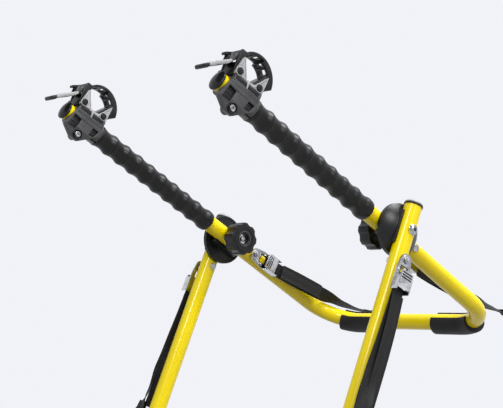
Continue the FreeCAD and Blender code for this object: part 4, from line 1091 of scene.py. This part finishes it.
@dataclass
class HubTrim:
    """The hubs' fitted trim: the knobs' rings and washers, the plates' ribs, the bolts' sockets and the legs'
    crowns; the grey knob ring is a painted highlight, the black socket painted shade and the pale crown
    painted reflection.

    A triple is a ring's two radii and its thickness, which may go inwards.
    """

    knob_face: float = -39.7
    face_rim: Triple = (19.0, 20.6, -0.8)
    # A grey ring on the knob's face: a painted highlight on it.
    face_ring: Triple = (12.2, 13.7, -0.9)
    recess_floor: float = -31.7
    washer: Triple = (4.6, 9.2, -0.9)
    plate_face: float = 14.3
    plate_rim: Triple = (38.4, 41.5, -0.9)
    plate_rib: Pair = (30.5, 34.5)
    rib_rise: float = 0.7
    rib_slope: float = 0.5
    rib_starts: Pair = (32.0, 212.0)
    rib_sweep: float = 52.0
    bolt_crown: float = 18.7
    # A black disc in the bolt's head: painted shade of a socket.
    socket: Triple = (0.2, 2.9, 0.7)
    socket_depth: float = 0.6
    crown_sides: int = 48
    # The pale crown on the leg's end cap: painted reflection on its dome.
    crown: Outline = (
        (0.4, 46.9), (6.0, 46.3), (14.3, 43.3), (14.6, 44.6), (13.6, 46.4), (10.4, 48.6), (5.2, 50.0),
        (0.4, 50.4), (0.4, 46.9),
    )

    def plate_trim(self) -> list[Piece]:
        """The rim round a hub plate's face and the two ribs inside it.

        Returns:
            The pieces.
        """
        inner, outer = self.plate_rib
        foot, top = self.plate_face + SINK, self.plate_face - self.rib_rise
        slope = self.rib_slope
        section = [(foot, inner), (top, inner + slope), (top, outer - slope), (foot, outer)]
        ribs = [Bench.arch(section, (0.0, 0.0), start, self.rib_sweep) for start in self.rib_starts]
        return [Bench.ring(*self.plate_rim, foot), *ribs]

    def build(self, bench: Bench) -> None:
        """Makes the trim once and sets a copy on each hub, on the body of the node that it is fitted to.

        Args:
            bench: The modelling tools.
        """
        face, floor = self.knob_face + SINK, self.recess_floor + SINK
        for name, slot, tube, node, pieces in (
            ("face_rim", Slot.BLACK_PLASTIC, ARM, "hub_knob", [Bench.ring(*self.face_rim, face)]),
            # Grey ring on the knob's face: painted highlight.
            ("face_ring", Slot.CLAMP_GREY, ARM, "hub_knob", [Bench.ring(*self.face_ring, face)]),
            ("nut_washer", Slot.BRIGHT_ZINC, ARM, "hub_knob", [Bench.ring(*self.washer, floor)]),
            ("plate_rim", Slot.BLACK_PLASTIC, ARM, "frame_hub_plate", self.plate_trim()),
            # Black disc on the bolt's head: painted shade of a socket.
            ("bolt_socket", Slot.BLACK_PLASTIC, LEG, "pivot_bolt", [
                Bench.ring(*self.socket, self.bolt_crown - self.socket_depth),
            ]),
            # Pale crown on the leg's cap: painted reflection on its dome.
            ("cap_crown", Slot.JAW_GREY, LEG, "leg_end_cap", [Bench.lathe(self.crown, self.crown_sides)]),
        ):
            bench.fit(pieces, slot, [(
                f"{name}_{slot.value}_{side.word}", bench.bodies[f"{node}_{side.word}"],
                side.mirror() @ tube.matrix(tube.half),
            ) for side in Side])


@dataclass
class BuckleTrim:
    """The buckles' fitted trim: black strips on the thumb cams and a black window border, painted shade in
    the grooves and round the window, and rivets.

    A triple is a ring's two radii and its thickness.
    """

    root: float = -52.0
    plate: float = 5.3
    cam: float = 16.7
    groove_half: float = 10.9
    groove_edges: Pair = (22.2, 24.4)
    groove_pitch: float = 4.0
    groove_count: int = 3
    groove_rise: float = 0.25
    groove_round: float = 0.05
    border_half: Pair = (8.1, 7.1)
    border: float = 1.3
    border_rise: float = 0.6
    border_round: float = 0.2
    window_middle: float = -69.5
    rivets: Outline = ((9.6, -71.0), (-9.6, -71.0), (0.0, -59.8))
    rivet_foot: Triple = (0.6, 2.3, 0.7)
    rivet_head: Triple = (0.2, 1.5, 0.5)
    head_at: float = 0.5
    bolt_seat: Triple = (6.3, 7.6, 0.5)

    @staticmethod
    def panel(half: float, low: float, high: float) -> list[Pair]:
        """The corners of a rectangle across the strap."""
        return [(-half, low), (half, low), (half, high), (-half, high)]

    def grooves(self) -> list[Piece]:
        """Black strips between the thumb's ribs: painted shade in its grooves.

        Returns:
            The pieces.
        """
        strips = []
        for index in range(self.groove_count):
            high, low = (self.root - edge - self.groove_pitch * index for edge in self.groove_edges)
            panel = self.panel(self.groove_half, high, low)
            strips.append(Bench.slab(panel, self.cam - SINK, self.groove_rise, self.groove_round))
        return strips

    def window(self) -> list[Piece]:
        """The black border round the plate's window: painted shade at its edge.

        Returns:
            The pieces.
        """
        across, along = self.border_half
        panel = self.panel(across, self.window_middle - along, self.window_middle + along)
        return [Bench.slab(panel, self.plate - SINK, self.border_rise, self.border_round, self.border)]

    def studs(self) -> list[Piece]:
        """The rivets, each a low stepped head, and the seat under the bolt.

        Returns:
            The pieces.
        """
        heads = []
        for rivet in self.rivets:
            heads.append(Bench.ring(*self.rivet_foot, self.plate - SINK, rivet))
            heads.append(Bench.ring(*self.rivet_head, self.plate + self.head_at, rivet))
        heads.append(Bench.ring(*self.bolt_seat, self.plate - SINK, (0.0, self.root)))
        return heads

    def build(self, bench: Bench) -> None:
        """Makes the trim once and sets a copy on each buckle, mirrored on one side of each tube.

        Args:
            bench: The modelling tools.
        """
        homes = (
            (ARM, ARM.matrix(TUBE - ARM.half), Side.LEFT),
            (LEG, LEG.matrix(TUBE + LEG.half), Side.RIGHT),
        )
        for part, slot, pieces in (
            # Black strips and border: painted shade in the cam's grooves and round the window.
            ("cam", Slot.BLACK_PLASTIC, self.grooves()),
            ("buckle", Slot.BLACK_PLASTIC, self.window()),
            ("buckle", Slot.BRIGHT_ZINC, self.studs()),
        ):
            bench.fit(pieces, slot, [(
                f"{tube.name}_{part}_trim_{slot.value}_{side.word}",
                bench.bodies[f"{tube.name}_{part}_{side.word}"],
                place if side is first else Side.LEFT.mirror() @ place,
            ) for tube, place, first in homes for side in Side])


@dataclass
class ArmSleeves:
    """The ribbed rubber sleeves: a rounded hub end, then bulges whose crests carry a fine crease."""

    sides: int = 96
    sharp: float = 50.0
    start: float = 58.0
    first_crest: float = 69.0
    end: float = 327.4
    pitch: float = 28.6
    last_turn: float = 3.0
    last_point: float = 2.2
    valley: float = 15.4
    crest: float = 17.95
    hub_end: Outline = (
        (14.8, 0.0), (15.6, 0.3), (16.4, 1.0), (17.0, 2.2), (17.4, 4.0), (17.7, 6.4), (17.9, 9.0),
    )
    clamp_end: Outline = ((0.0, 1.6), (0.1, 0.7), (0.9, 0.0))
    swell: Outline = (
        (0.0, 1.0), (0.03, 0.97), (0.07, 0.88), (0.14, 0.69), (0.21, 0.42), (0.27, 0.22), (0.33, 0.08),
        (0.4, 0.01), (0.47, 0.0), (0.55, 0.06), (0.63, 0.16), (0.71, 0.31), (0.78, 0.48), (0.84, 0.66),
        (0.875, 0.74), (0.89, 0.5), (0.905, 0.44), (0.92, 0.8), (0.935, 0.97), (0.965, 1.0),
    )

    def profile(self) -> list[Pair]:
        """The sleeve's closed half section, as radius and height.

        Returns:
            The section's points, which end where they start.
        """
        points: list[Pair] = [(BORE, self.start)]
        points += [(radius, self.start + along) for radius, along in self.hub_end]
        turn = 0
        while self.first_crest + turn * self.pitch < self.end - self.last_turn:
            for share, rise in self.swell:
                height = self.first_crest + (turn + share) * self.pitch
                if height < self.end - self.last_point:
                    points.append((self.valley + (self.crest - self.valley) * rise, height))
            turn += 1
        points += [(self.crest - inward, self.end - back) for inward, back in self.clamp_end]
        return points + [(BORE, self.end), (BORE, self.start)]

    def build(self, bench: Bench) -> None:
        """Turns one sleeve and sets a copy on each arm.

        Args:
            bench: The modelling tools.
        """
        bench.fit([Bench.lathe(self.profile(), self.sides)], Slot.SLEEVE_RUBBER, [(
            f"ribbed_sleeve_{side.word}", ARM.body, ARM.matrix(side.value * ARM.half),
            f"arm_sleeve_{side.word}",
        ) for side in Side], angle=self.sharp)


@dataclass
class RestPads:
    """Split rubber pads that follow a crossbar into its bend, thick on the side that leans on the car."""

    outer: float = 19.0
    offset: float = 2.5
    slot: float = 9.5
    lip: float = 0.07
    start: float = 64.0
    sweep: float = 30.0
    turn: float = 52.0
    end_round: float = 1.6
    edge: float = 0.4
    swells: Pair = (0.72, 0.88)
    steps: int = 26
    bore_steps: int = 28
    bore_clear: float = 0.01
    outer_steps: int = 32

    def section(self) -> list[Pair]:
        """The pad's section about the tube, open side up, as (across, up) with rounded lips.

        Returns:
            The section's points.
        """
        inner = math.asin(self.slot / BORE)
        outer = math.asin(self.slot / self.outer) + self.lip
        points = []
        for step in range(self.bore_steps + 1):
            angle = inner + (math.tau - 2 * inner) * step / self.bore_steps
            points.append((BORE * math.sin(angle), BORE * math.cos(angle)))
        for step in range(self.outer_steps + 1):
            angle = math.tau - outer - (math.tau - 2 * outer) * step / self.outer_steps
            points.append((self.outer * math.sin(angle), self.outer * math.cos(angle) - self.offset))
        return points

    def ring(self, tube: BentTube, at: float, swell: float) -> list[Vector]:
        """The section at one place on the right-hand side.

        Args:
            tube: The tube that carries the pad.
            at: The distance along the crossbar's line from its middle, then round the bend.
            swell: How far the wall stands out, from 0 at the bore to 1.

        Returns:
            The section's points in the world.
        """
        straight = tube.half - BEND
        heading = max(0.0, (at - straight) / BEND)
        x = min(at, straight) + BEND * math.sin(heading)
        centre = Vector((x, 0, BEND * (1 - math.cos(heading)) - tube.drop))
        sine, cosine = math.sin(math.radians(self.turn)), math.cos(math.radians(self.turn))
        ring = []
        for across, up in self.section():
            reach = math.hypot(across, up)
            scale = (BORE + (reach - BORE) * swell) / reach if reach > BORE + self.bore_clear else 1.0
            y = tube.pad_way * (up * cosine - across * sine) * scale
            z = (up * sine + across * cosine) * scale
            shift = Vector((-z * math.sin(heading), y, z * math.cos(heading)))
            ring.append(tube.matrix() @ ((centre + shift) * MM))
        return ring

    def build(self, bench: Bench) -> None:
        """Makes the four pads, the left ones as mirrored copies.

        Args:
            bench: The modelling tools.
        """
        for tube in (ARM, LEG):
            last = tube.half - BEND + BEND * math.radians(self.sweep)
            full = self.start + self.end_round
            pitch = (last - self.end_round - full) / self.steps
            end, near_end = self.swells
            stops = [(self.start, end), (self.start + self.edge, near_end)]
            stops += [(full + pitch * step, 1.0) for step in range(self.steps + 1)]
            stops += [(last - self.edge, near_end), (last, end)]
            model = bench.shell(f"{tube.name}_pad_model", [self.ring(tube, at, swell) for at, swell in stops])
            bench.tidy(model)
            bench.fit([model], Slot.PAD_RUBBER, [(
                f"{tube.name}_rest_pad_{side.word}", tube.body, side.mirror(),
                f"{tube.name}_pad_{side.word}",
            ) for side in reversed(Side)])


@dataclass
class Webbing:
    """The four straps: a load run from buckle to hook with a sewn loop, and a tail.

    A route's stops lie beside the buckle's tube. Each is how far from it, a y and a z, and a turn in degrees.
    The upper tail's are a share of its length, what is added along it, and how far above the strap it lies.
    The woven edge is how far in from the side each of its points is, and its share of half the thickness.
    """

    width: float = 25.0
    thickness: float = 1.5
    bar: float = 2.8
    lift: float = 6.25
    inside: float = 87.0
    clear: float = 112.0
    gap: float = 1.8
    upper_left: tuple[tuple[float, ...], ...] = (
        (2.0, 150.0, -76.0, 4.0), (3.0, 195.0, -92.5, 25.0), (4.5, 248.0, -112.5, 78.0),
        (5.5, 288.0, -124.0, 90.0),
    )
    upper_right: tuple[tuple[float, ...], ...] = (
        (2.0, 150.0, -74.0, 2.0), (3.0, 195.0, -91.0, 12.0), (4.5, 248.0, -109.0, 38.0),
        (5.5, 288.0, -121.5, 62.0),
    )
    upper_hook: Triple = (6.5, 330.0, -130.0)
    lower_route: tuple[tuple[float, ...], ...] = (
        (0.5, -2.5, -175.0, 0.0), (3.0, -7.0, -245.0, 14.0), (9.0, -10.0, -295.0, 50.0),
    )
    lower_hook: Triple = (15.0, -12.0, -338.0)
    lower_tail: tuple[Triple, ...] = (
        (0.4, 0.5, -110.0), (1.4, 3.0, -142.0), (2.6, 4.5, -200.0), (3.2, 4.0, -265.0), (4.4, 2.5, -318.0),
    )
    upper_tail: tuple[Triple, ...] = (
        (0.0, -7.0, 0.3), (0.35, 0.0, 1.1), (0.8, 0.0, 0.5), (1.0, 4.2, -0.6), (1.0, 4.2, 7.5),
        (0.72, 0.0, 8.9), (0.3, 0.0, 9.5), (0.0, 2.0, 6.3),
    )
    tail_past: float = 42.0
    woven_edge: Outline = ((2.7, 0.8), (2.2, 1.0), (0.7, 1.0), (0.15, 0.7))
    merge: float = 0.001
    loop_start: float = 95.0
    loop_turn: float = 335.0
    loop_steps: int = 24
    overlap: float = 24.0
    overlap_steps: int = 8
    close_up: float = 2.2
    layer_gap: float = 0.15
    stitch_rows: tuple[float, ...] = (-9.0, -3.0, 3.0, 9.0)
    stitches: int = 6
    stitch_first: float = 9.0
    stitch_pitch: float = 2.6
    stitch_ends: Outline = ((-1.0, 0.12), (-0.6, 0.3), (0.6, 0.3), (1.0, 0.12))
    stitch_sides: int = 6
    stitch_flat: float = 0.6
    stitch_lift: float = 0.05

    def section(self) -> list[Pair]:
        """The strap's section, with thicker woven edges and rounded corners, as (across, out).

        Returns:
            The section's points.
        """
        half, edge = self.width / 2, self.thickness / 2
        side = [(half - inward, edge * share) for inward, share in self.woven_edge]
        flat = [(half * share, side[0][1]) for share in (-0.5, 0.0, 0.5)]
        top = [(-x, y) for x, y in reversed(side)] + flat + side
        return top + [(x, -y) for x, y in reversed(top)]

    def ring(self, spot: Vector, across: Vector, out: Vector) -> list[Vector]:
        """The section round a spot in metres, by the directions of its width and its face."""
        return [spot + (across * x + out * y) * MM for x, y in self.section()]

    def shell(self, name: str, rings: Sequence[Sequence[Vector]]) -> Piece:
        """The webbing through rings of its section."""
        return Bench.shell(name, rings, [x * MM for x, _ in self.section()])

    @staticmethod
    def line(name: str, points: Sequence[Vector]) -> list[Vector]:
        """Points on the smooth line of a route.

        Args:
            name: The route's name.
            points: The route's points, in metres.

        Returns:
            Points close together along the route's spline.
        """
        curve = bpy.data.curves.new(name, "CURVE")
        curve.dimensions = "3D"
        spline = curve.splines.new("NURBS")
        spline.points.add(len(points) - 1)
        for spot, point in zip(spline.points, points):
            spot.co = (*point, 1.0)
        spline.order_u = 3
        spline.use_endpoint_u = True
        spline.resolution_u = 12
        obj = bpy.data.objects.new(name, curve)
        bpy.context.scene.collection.objects.link(obj)
        bpy.context.view_layer.update()
        mesh = bpy.data.meshes.new_from_object(obj)
        found = [vertex.co.copy() for vertex in mesh.vertices]
        bpy.data.objects.remove(obj)
        bpy.data.meshes.remove(mesh)
        return found

    @staticmethod
    def shares(points: Sequence[Vector]) -> list[float]:
        """How far along its own length each point of a line is, from 0 to 1.

        Args:
            points: The line's points.

        Returns:
            A share for each point.
        """
        marks = [0.0]
        for near, far in zip(points, points[1:]):
            marks.append(marks[-1] + (far - near).length)
        return [mark / marks[-1] for mark in marks]

    def twist(self, route: Sequence[Vector], turns: Sequence[float], face: int) -> Facing:
        """The way that a strap turns about its own line.

        Args:
            route: The route's points.
            turns: The strap's turn at each of them, in degrees.
            face: The sign along X of the way that it faces where it isn't turned.

        Returns:
            What sweep() asks for.
        """
        knots, toward = self.shares(route), Vector((face, 0, 0))

        def facing(mark: float, ahead: Vector) -> tuple[Vector, Vector]:
            """The directions of its width and its face at a share of its length.

            Args:
                mark: The share of its length.
                ahead: Its heading there.

            Returns:
                The two directions.
            """
            span = max(k for k in range(len(knots) - 1) if knots[k] <= mark + 1e-9)
            share = (mark - knots[span]) / (knots[span + 1] - knots[span])
            share = share * share * (3 - 2 * share)
            turn = turns[span] + (turns[span + 1] - turns[span]) * share
            out = (toward - ahead * toward.dot(ahead)).normalized()
            out = Matrix.Rotation(math.radians(turn), 3, ahead) @ out
            return ahead.cross(out), out

        return facing

    def sweep(self, name: str, route: Sequence[Vector], facing: Facing) -> tuple[Piece, list[Vector], Vector]:
        """A strap along a route.

        Args:
            name: The piece's name.
            route: The route's points, in metres.
            facing: Gives the directions of its width and its face from its length's share and its heading.

        Returns:
            The piece, its line and the way that it faces at its end.
        """
        line = self.line(f"{name}_route", route)
        befores, afters = line[:1] + line[:-1], line[1:] + line[-1:]
        rings = []
        for point, before, after, mark in zip(line, befores, afters, self.shares(line)):
            across, out = facing(mark, (after - before).normalized())
            rings.append(self.ring(point, across, out))
        return self.shell(name, rings), line, out

    def sewn_loop(self, name: str, bar: Vector, ahead: Vector, out: Vector) -> Piece:
        """The loop round the hook's bar, the second layer that is sewn to the strap, and its stitches.

        Args:
            name: The piece's name.
            bar: The middle of the hook's bar, in metres.
            ahead: The strap's direction there.
            out: The way that the strap faces there.

        Returns:
            The piece.
        """
        across = ahead.cross(out)
        middle = (self.bar + self.thickness / 2) * MM
        rings = []
        for step in range(self.loop_steps + 1):
            angle = math.radians(self.loop_start - self.loop_turn * step / self.loop_steps)
            way = ahead * math.cos(angle) + out * math.sin(angle)
            rings.append(self.ring(bar + way * middle, across, way))
        start = sum(rings[-1], Vector()) / len(rings[-1])
        under = bar - ahead * middle - out * (self.thickness + self.layer_gap) * MM
        for step in range(1, self.overlap_steps + 1):
            share = step / self.overlap_steps
            run = ahead * self.overlap * MM * share
            spot = (start - run).lerp(under - run, min(1.0, share * self.close_up))
            rings.append(self.ring(spot, across, out))
        pieces = [self.shell(name, rings)]
        top = bar + out * (self.thickness / 2 + self.stitch_lift) * MM
        for row in self.stitch_rows:
            for step in range(self.stitches):
                back = self.stitch_first + step * self.stitch_pitch
                pieces.append(self.stitch(top + (across * row - ahead * back) * MM, ahead, across, out))
        return Bench.join(pieces)

    def stitch(self, spot: Vector, ahead: Vector, across: Vector, out: Vector) -> Piece:
        """One raised stitch of thick thread.

        Args:
            spot: Its middle, in metres.
            ahead: The way that it runs.
            across: The direction of the strap's width.
            out: The way that the strap faces.

        Returns:
            The stitch.
        """
        rings = []
        for along, size in self.stitch_ends:
            ring = []
            for step in range(self.stitch_sides):
                angle = math.tau * step / self.stitch_sides
                side = across * math.cos(angle) * size + out * math.sin(angle) * size * self.stitch_flat
                ring.append(spot + (ahead * along + side) * MM)
            rings.append(ring)
        obj = Bench.shell("stitch", rings)
        obj.data.uv_layers.new(name="weave")
        return obj

    def finish(self, bench: Bench, piece: Piece, tube: BentTube, side: Side) -> Piece:
        """Turns a strap's faces out, smooths it and dresses it.

        Args:
            bench: The modelling tools.
            piece: The strap, its tail or its loop.
            tube: The tube that the buckle is bolted to.
            side: The side of the carrier.

        Returns:
            The piece.
        """
        bench.tidy(piece, self.merge)
        bench.smooth(piece)
        body, node = f"{tube.name}_strap_{side.word}", f"{tube.name}_webbing_{side.word}"
        return bench.dress(piece, Slot.WEBBING, body, [node])

    def declare(self, piece: Piece, line: list[Vector], with_pieces: Sequence = ()) -> None:
        """Works out a strap's length along its line, and keeps nothing.

        Args:
            piece: The strap; not used.
            line: Its line, from its exit on.
            with_pieces: The pieces at its end; not used.
        """
        length = sum((b - a).length for a, b in zip(line, line[1:]))
        tuple(line[0])
        [tuple(point) for point in line]

    def load(self, bench: Bench, tube: BentTube, side: Side, stops: Sequence[tuple], bar: Vector) -> None:
        """A strap's run from its buckle to its hook, with its end sewn round the hook's bar.

        Args:
            bench: The modelling tools.
            tube: The tube that the buckle is bolted to.
            side: The side of the carrier.
            stops: The route's points, in metres, each with the strap's turn there.
            bar: The middle of the hook's bar, in metres.
        """
        face, _ = self.seat(tube, side)
        route = [spot for spot, _ in stops]
        turns = [face * turn for _, turn in stops] + [face * 90.0]
        ahead = (bar - route[-1]).normalized()
        route.append(bar - ahead * (self.bar + self.thickness / 2) * MM)
        name = f"{tube.name}_strap_{side.word}"
        load, line, out = self.sweep(name, route, self.twist(route, turns, face))
        out = (out - ahead * out.dot(ahead)).normalized()
        self.finish(bench, load, tube, side)
        loop = self.sewn_loop(f"{tube.name}_loop_{side.word}", bar, ahead, out)
        self.finish(bench, loop, tube, side)
        self.declare(load, line, [f"{tube.name}_hook_{side.word}_skin", loop])

    def seat(self, tube: BentTube, side: Side) -> tuple[int, float]:
        """The way along X from a tube to its strap, inside an arm and outside a leg, and the strap's x."""
        face = -side.value if tube is ARM else side.value
        return face, side.value * tube.half + face * (TUBE + self.lift)

    def upper(self, bench: Bench, side: Side) -> None:
        """One upper strap, which twists flat over the crossbar, with its tail folded back to the buckle.

        Args:
            bench: The modelling tools.
            side: The side of the carrier.
        """
        face, x = self.seat(ARM, side)
        toward = Vector((face, 0, 0))
        stops = [(ARM.place(x, 0, -self.inside), 0.0), (ARM.place(x, 0, -self.clear), 0.0)]
        for shift, y, z, turn in self.upper_left if side is Side.LEFT else self.upper_right:
            stops.append((Vector((x + face * shift, y, z)) * MM, turn))
        shift, y, z = self.upper_hook
        self.load(bench, ARM, side, stops, Vector((x + face * shift, y, z)) * MM)

        start, run = stops[1][0], stops[2][0] - stops[1][0]
        ahead, length = run.normalized(), run.length / MM + self.tail_past
        across = ahead.cross(toward)
        route = [
            start + (ahead * (length * share + along) + toward * (self.gap + above)) * MM
            for share, along, above in self.upper_tail
        ]

        def facing(_: float, heading: Vector) -> tuple[Vector, Vector]:
            """The directions of its width, which stays the same, and of its face."""
            return across, across.cross(heading).normalized()

        tail, line, _ = self.sweep(f"upper_tail_{side.word}", route, facing)
        self.declare(self.finish(bench, tail, ARM, side), line)

    def lower(self, bench: Bench, side: Side) -> None:
        """One lower strap: its load run lies beside the leg, and its tail hangs free outside it.

        Args:
            bench: The modelling tools.
            side: The side of the carrier.
        """
        face, x = self.seat(LEG, side)
        stops = [(LEG.place(x, 0, -self.inside), 0.0), (LEG.place(x, -0.5, -self.clear), 0.0)]
        for shift, y, z, turn in self.lower_route:
            stops.append((LEG.place(x + face * shift, y, z), turn))
        shift, y, z = self.lower_hook
        self.load(bench, LEG, side, stops, LEG.place(x + face * shift, y, z))

        route = [LEG.place(x + face * (self.gap + off), y, z) for off, y, z in self.lower_tail]
        facing = self.twist(route, [0.0] * len(route), face)
        tail, line, _ = self.sweep(f"lower_tail_{side.word}", route, facing)
        self.declare(self.finish(bench, tail, LEG, side), line)

    def build(self, bench: Bench) -> None:
        """Args:
            bench: The modelling tools.
        """
        for side in Side:
            self.upper(bench, side)
            self.lower(bench, side)


# Stage


@dataclass
class Studio:
    """The camera at the photograph's angle, soft lamps, a pale floor and a pale world, in metres."""

    camera_at: Triple = (1.5901, -1.5131, -0.1087)
    yaw: float = 0.8500
    pitch: float = 0.0733
    lens: float = 94.81
    sensor: float = 36.0
    sight: float = 100.0
    lamps: tuple[tuple[str, Triple, float, float], ...] = (
        ("key", (1.1, -2.0, 1.8), 0.6, 30.0),
        ("fill", (3.0, 0.3, 1.9), 1.0, 46.0),
        ("overhead", (0.75, 0.95, 2.0), 1.2, 56.0),
    )
    backdrop: Triple = (0.945, 0.95, 0.97)
    ambient: tuple[float, ...] = (0.9, 0.93, 1.0, 1.0)
    ambient_strength: float = 0.42
    floor_z: float = -0.475
    floor_radius: float = 40.0
    floor_sides: int = 96
    floor_roughness: float = 0.8
    floor_tint: Triple = (0.93, 0.935, 0.95)
    floor_bounce: Triple = (0.5, 0.5, 0.5)
    floor_fade: Pair = (0.7, 2.2)
    floor_glow: float = 0.55

    def camera(self) -> None:
        """Adds the camera."""
        data = bpy.data.cameras.new("view")
        data.lens = self.lens
        data.sensor_width = self.sensor
        data.sensor_fit = "HORIZONTAL"
        data.clip_end = self.sight
        obj = bpy.data.objects.new("view", data)
        obj.location = self.camera_at
        obj.rotation_euler = (math.pi / 2 + self.pitch, 0.0, self.yaw)
        bpy.context.scene.collection.objects.link(obj)
        bpy.context.scene.camera = obj

    def lights(self) -> None:
        """Adds the square soft lamps, each of which faces the carrier."""
        for name, place, size, power in self.lamps:
            data = bpy.data.lights.new(name, "AREA")
            data.shape = "SQUARE"
            data.size = size
            data.energy = power
            obj = bpy.data.objects.new(name, data)
            obj.location = place
            obj.rotation_euler = (-Vector(place)).to_track_quat("-Z", "Y").to_euler()
            bpy.context.scene.collection.objects.link(obj)

    @staticmethod
    def seen_ray(graph: Graph) -> Socket:
        """A mask that is 1 for rays from the camera and for those that gloss and glass send on.

        Args:
            graph: The node tree.

        Returns:
            The mask.
        """
        rays = graph.add("LightPath").outputs
        either = graph.math("MAXIMUM", rays["Is Camera Ray"], rays["Is Glossy Ray"])
        return graph.math("MAXIMUM", either, rays["Is Transmission Ray"])

    def world(self) -> None:
        """Sets a pale world that the camera and gloss see as the backdrop."""
        world = bpy.data.worlds.new("pale_room")
        bpy.context.scene.world = world
        world.use_nodes = True
        graph = Graph(world.node_tree)
        ambient = graph.tree.nodes["Background"]
        graph.feed(ambient.inputs["Color"], self.ambient)
        graph.feed(ambient.inputs["Strength"], self.ambient_strength)
        seen = graph.add("Background", {"Color": linear(self.backdrop), "Strength": 1.0})
        graph.surface("World Output", self.seen_ray(graph), ambient, seen)

    def floor(self) -> None:
        """Adds a wide floor that fades into the backdrop away from the carrier."""
        bpy.ops.object.select_all(action="DESELECT")
        middle = (0, 0, self.floor_z)
        bpy.ops.mesh.primitive_circle_add(
            vertices=self.floor_sides, radius=self.floor_radius, fill_type="NGON", location=middle,
        )
        obj = Bench.settle(bpy.context.object)
        obj.name = "floor"
        material = bpy.data.materials.new("pale_floor")
        material.use_nodes = True
        graph = Graph(material.node_tree)
        seen = self.seen_ray(graph)
        shader = graph.tree.nodes["Principled BSDF"]
        graph.feed(shader.inputs["Roughness"], self.floor_roughness)
        tint = graph.mix(seen, linear(self.floor_bounce), linear(self.floor_tint))
        graph.feed(shader.inputs["Base Color"], tint)
        glow = graph.add("Emission", {"Color": linear(self.backdrop)})
        reach = graph.add("VectorMath", {0: graph.add("TexCoord").outputs["Object"]}, operation="LENGTH")
        near, far = self.floor_fade
        fade = graph.add("MapRange", {
            "Value": reach.outputs["Value"], "From Min": near, "From Max": far, "To Min": self.floor_glow,
        }, interpolation_type="SMOOTHSTEP")
        share = graph.math("MULTIPLY", fade.outputs["Result"], seen)
        graph.surface("Material Output", share, shader, glow)
        obj.data.materials.append(material)

    def build(self) -> None:
        """Sets the whole stage."""
        self.camera()
        self.world()
        self.floor()
        self.lights()
        bpy.context.scene.view_settings.view_transform = "Standard"


def main() -> None:
    """Builds the stage and every sub-assembly."""
    logging.basicConfig(level=logging.INFO, format="%(message)s")
    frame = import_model()
    effects = Effects()
    bench = Bench(frame, {slot: finish.build(effects) for slot, finish in FINISHES.items()})
    Studio().build()
    for part in (
        Skins(), FrameTubes(), Webbing(), ClampTrim(), HubTrim(), BuckleTrim(), ArmSleeves(), RestPads(),
    ):
        part.build(bench)
        LOG.info("%s done", type(part).__name__)


if __name__ == "__main__":
    main()
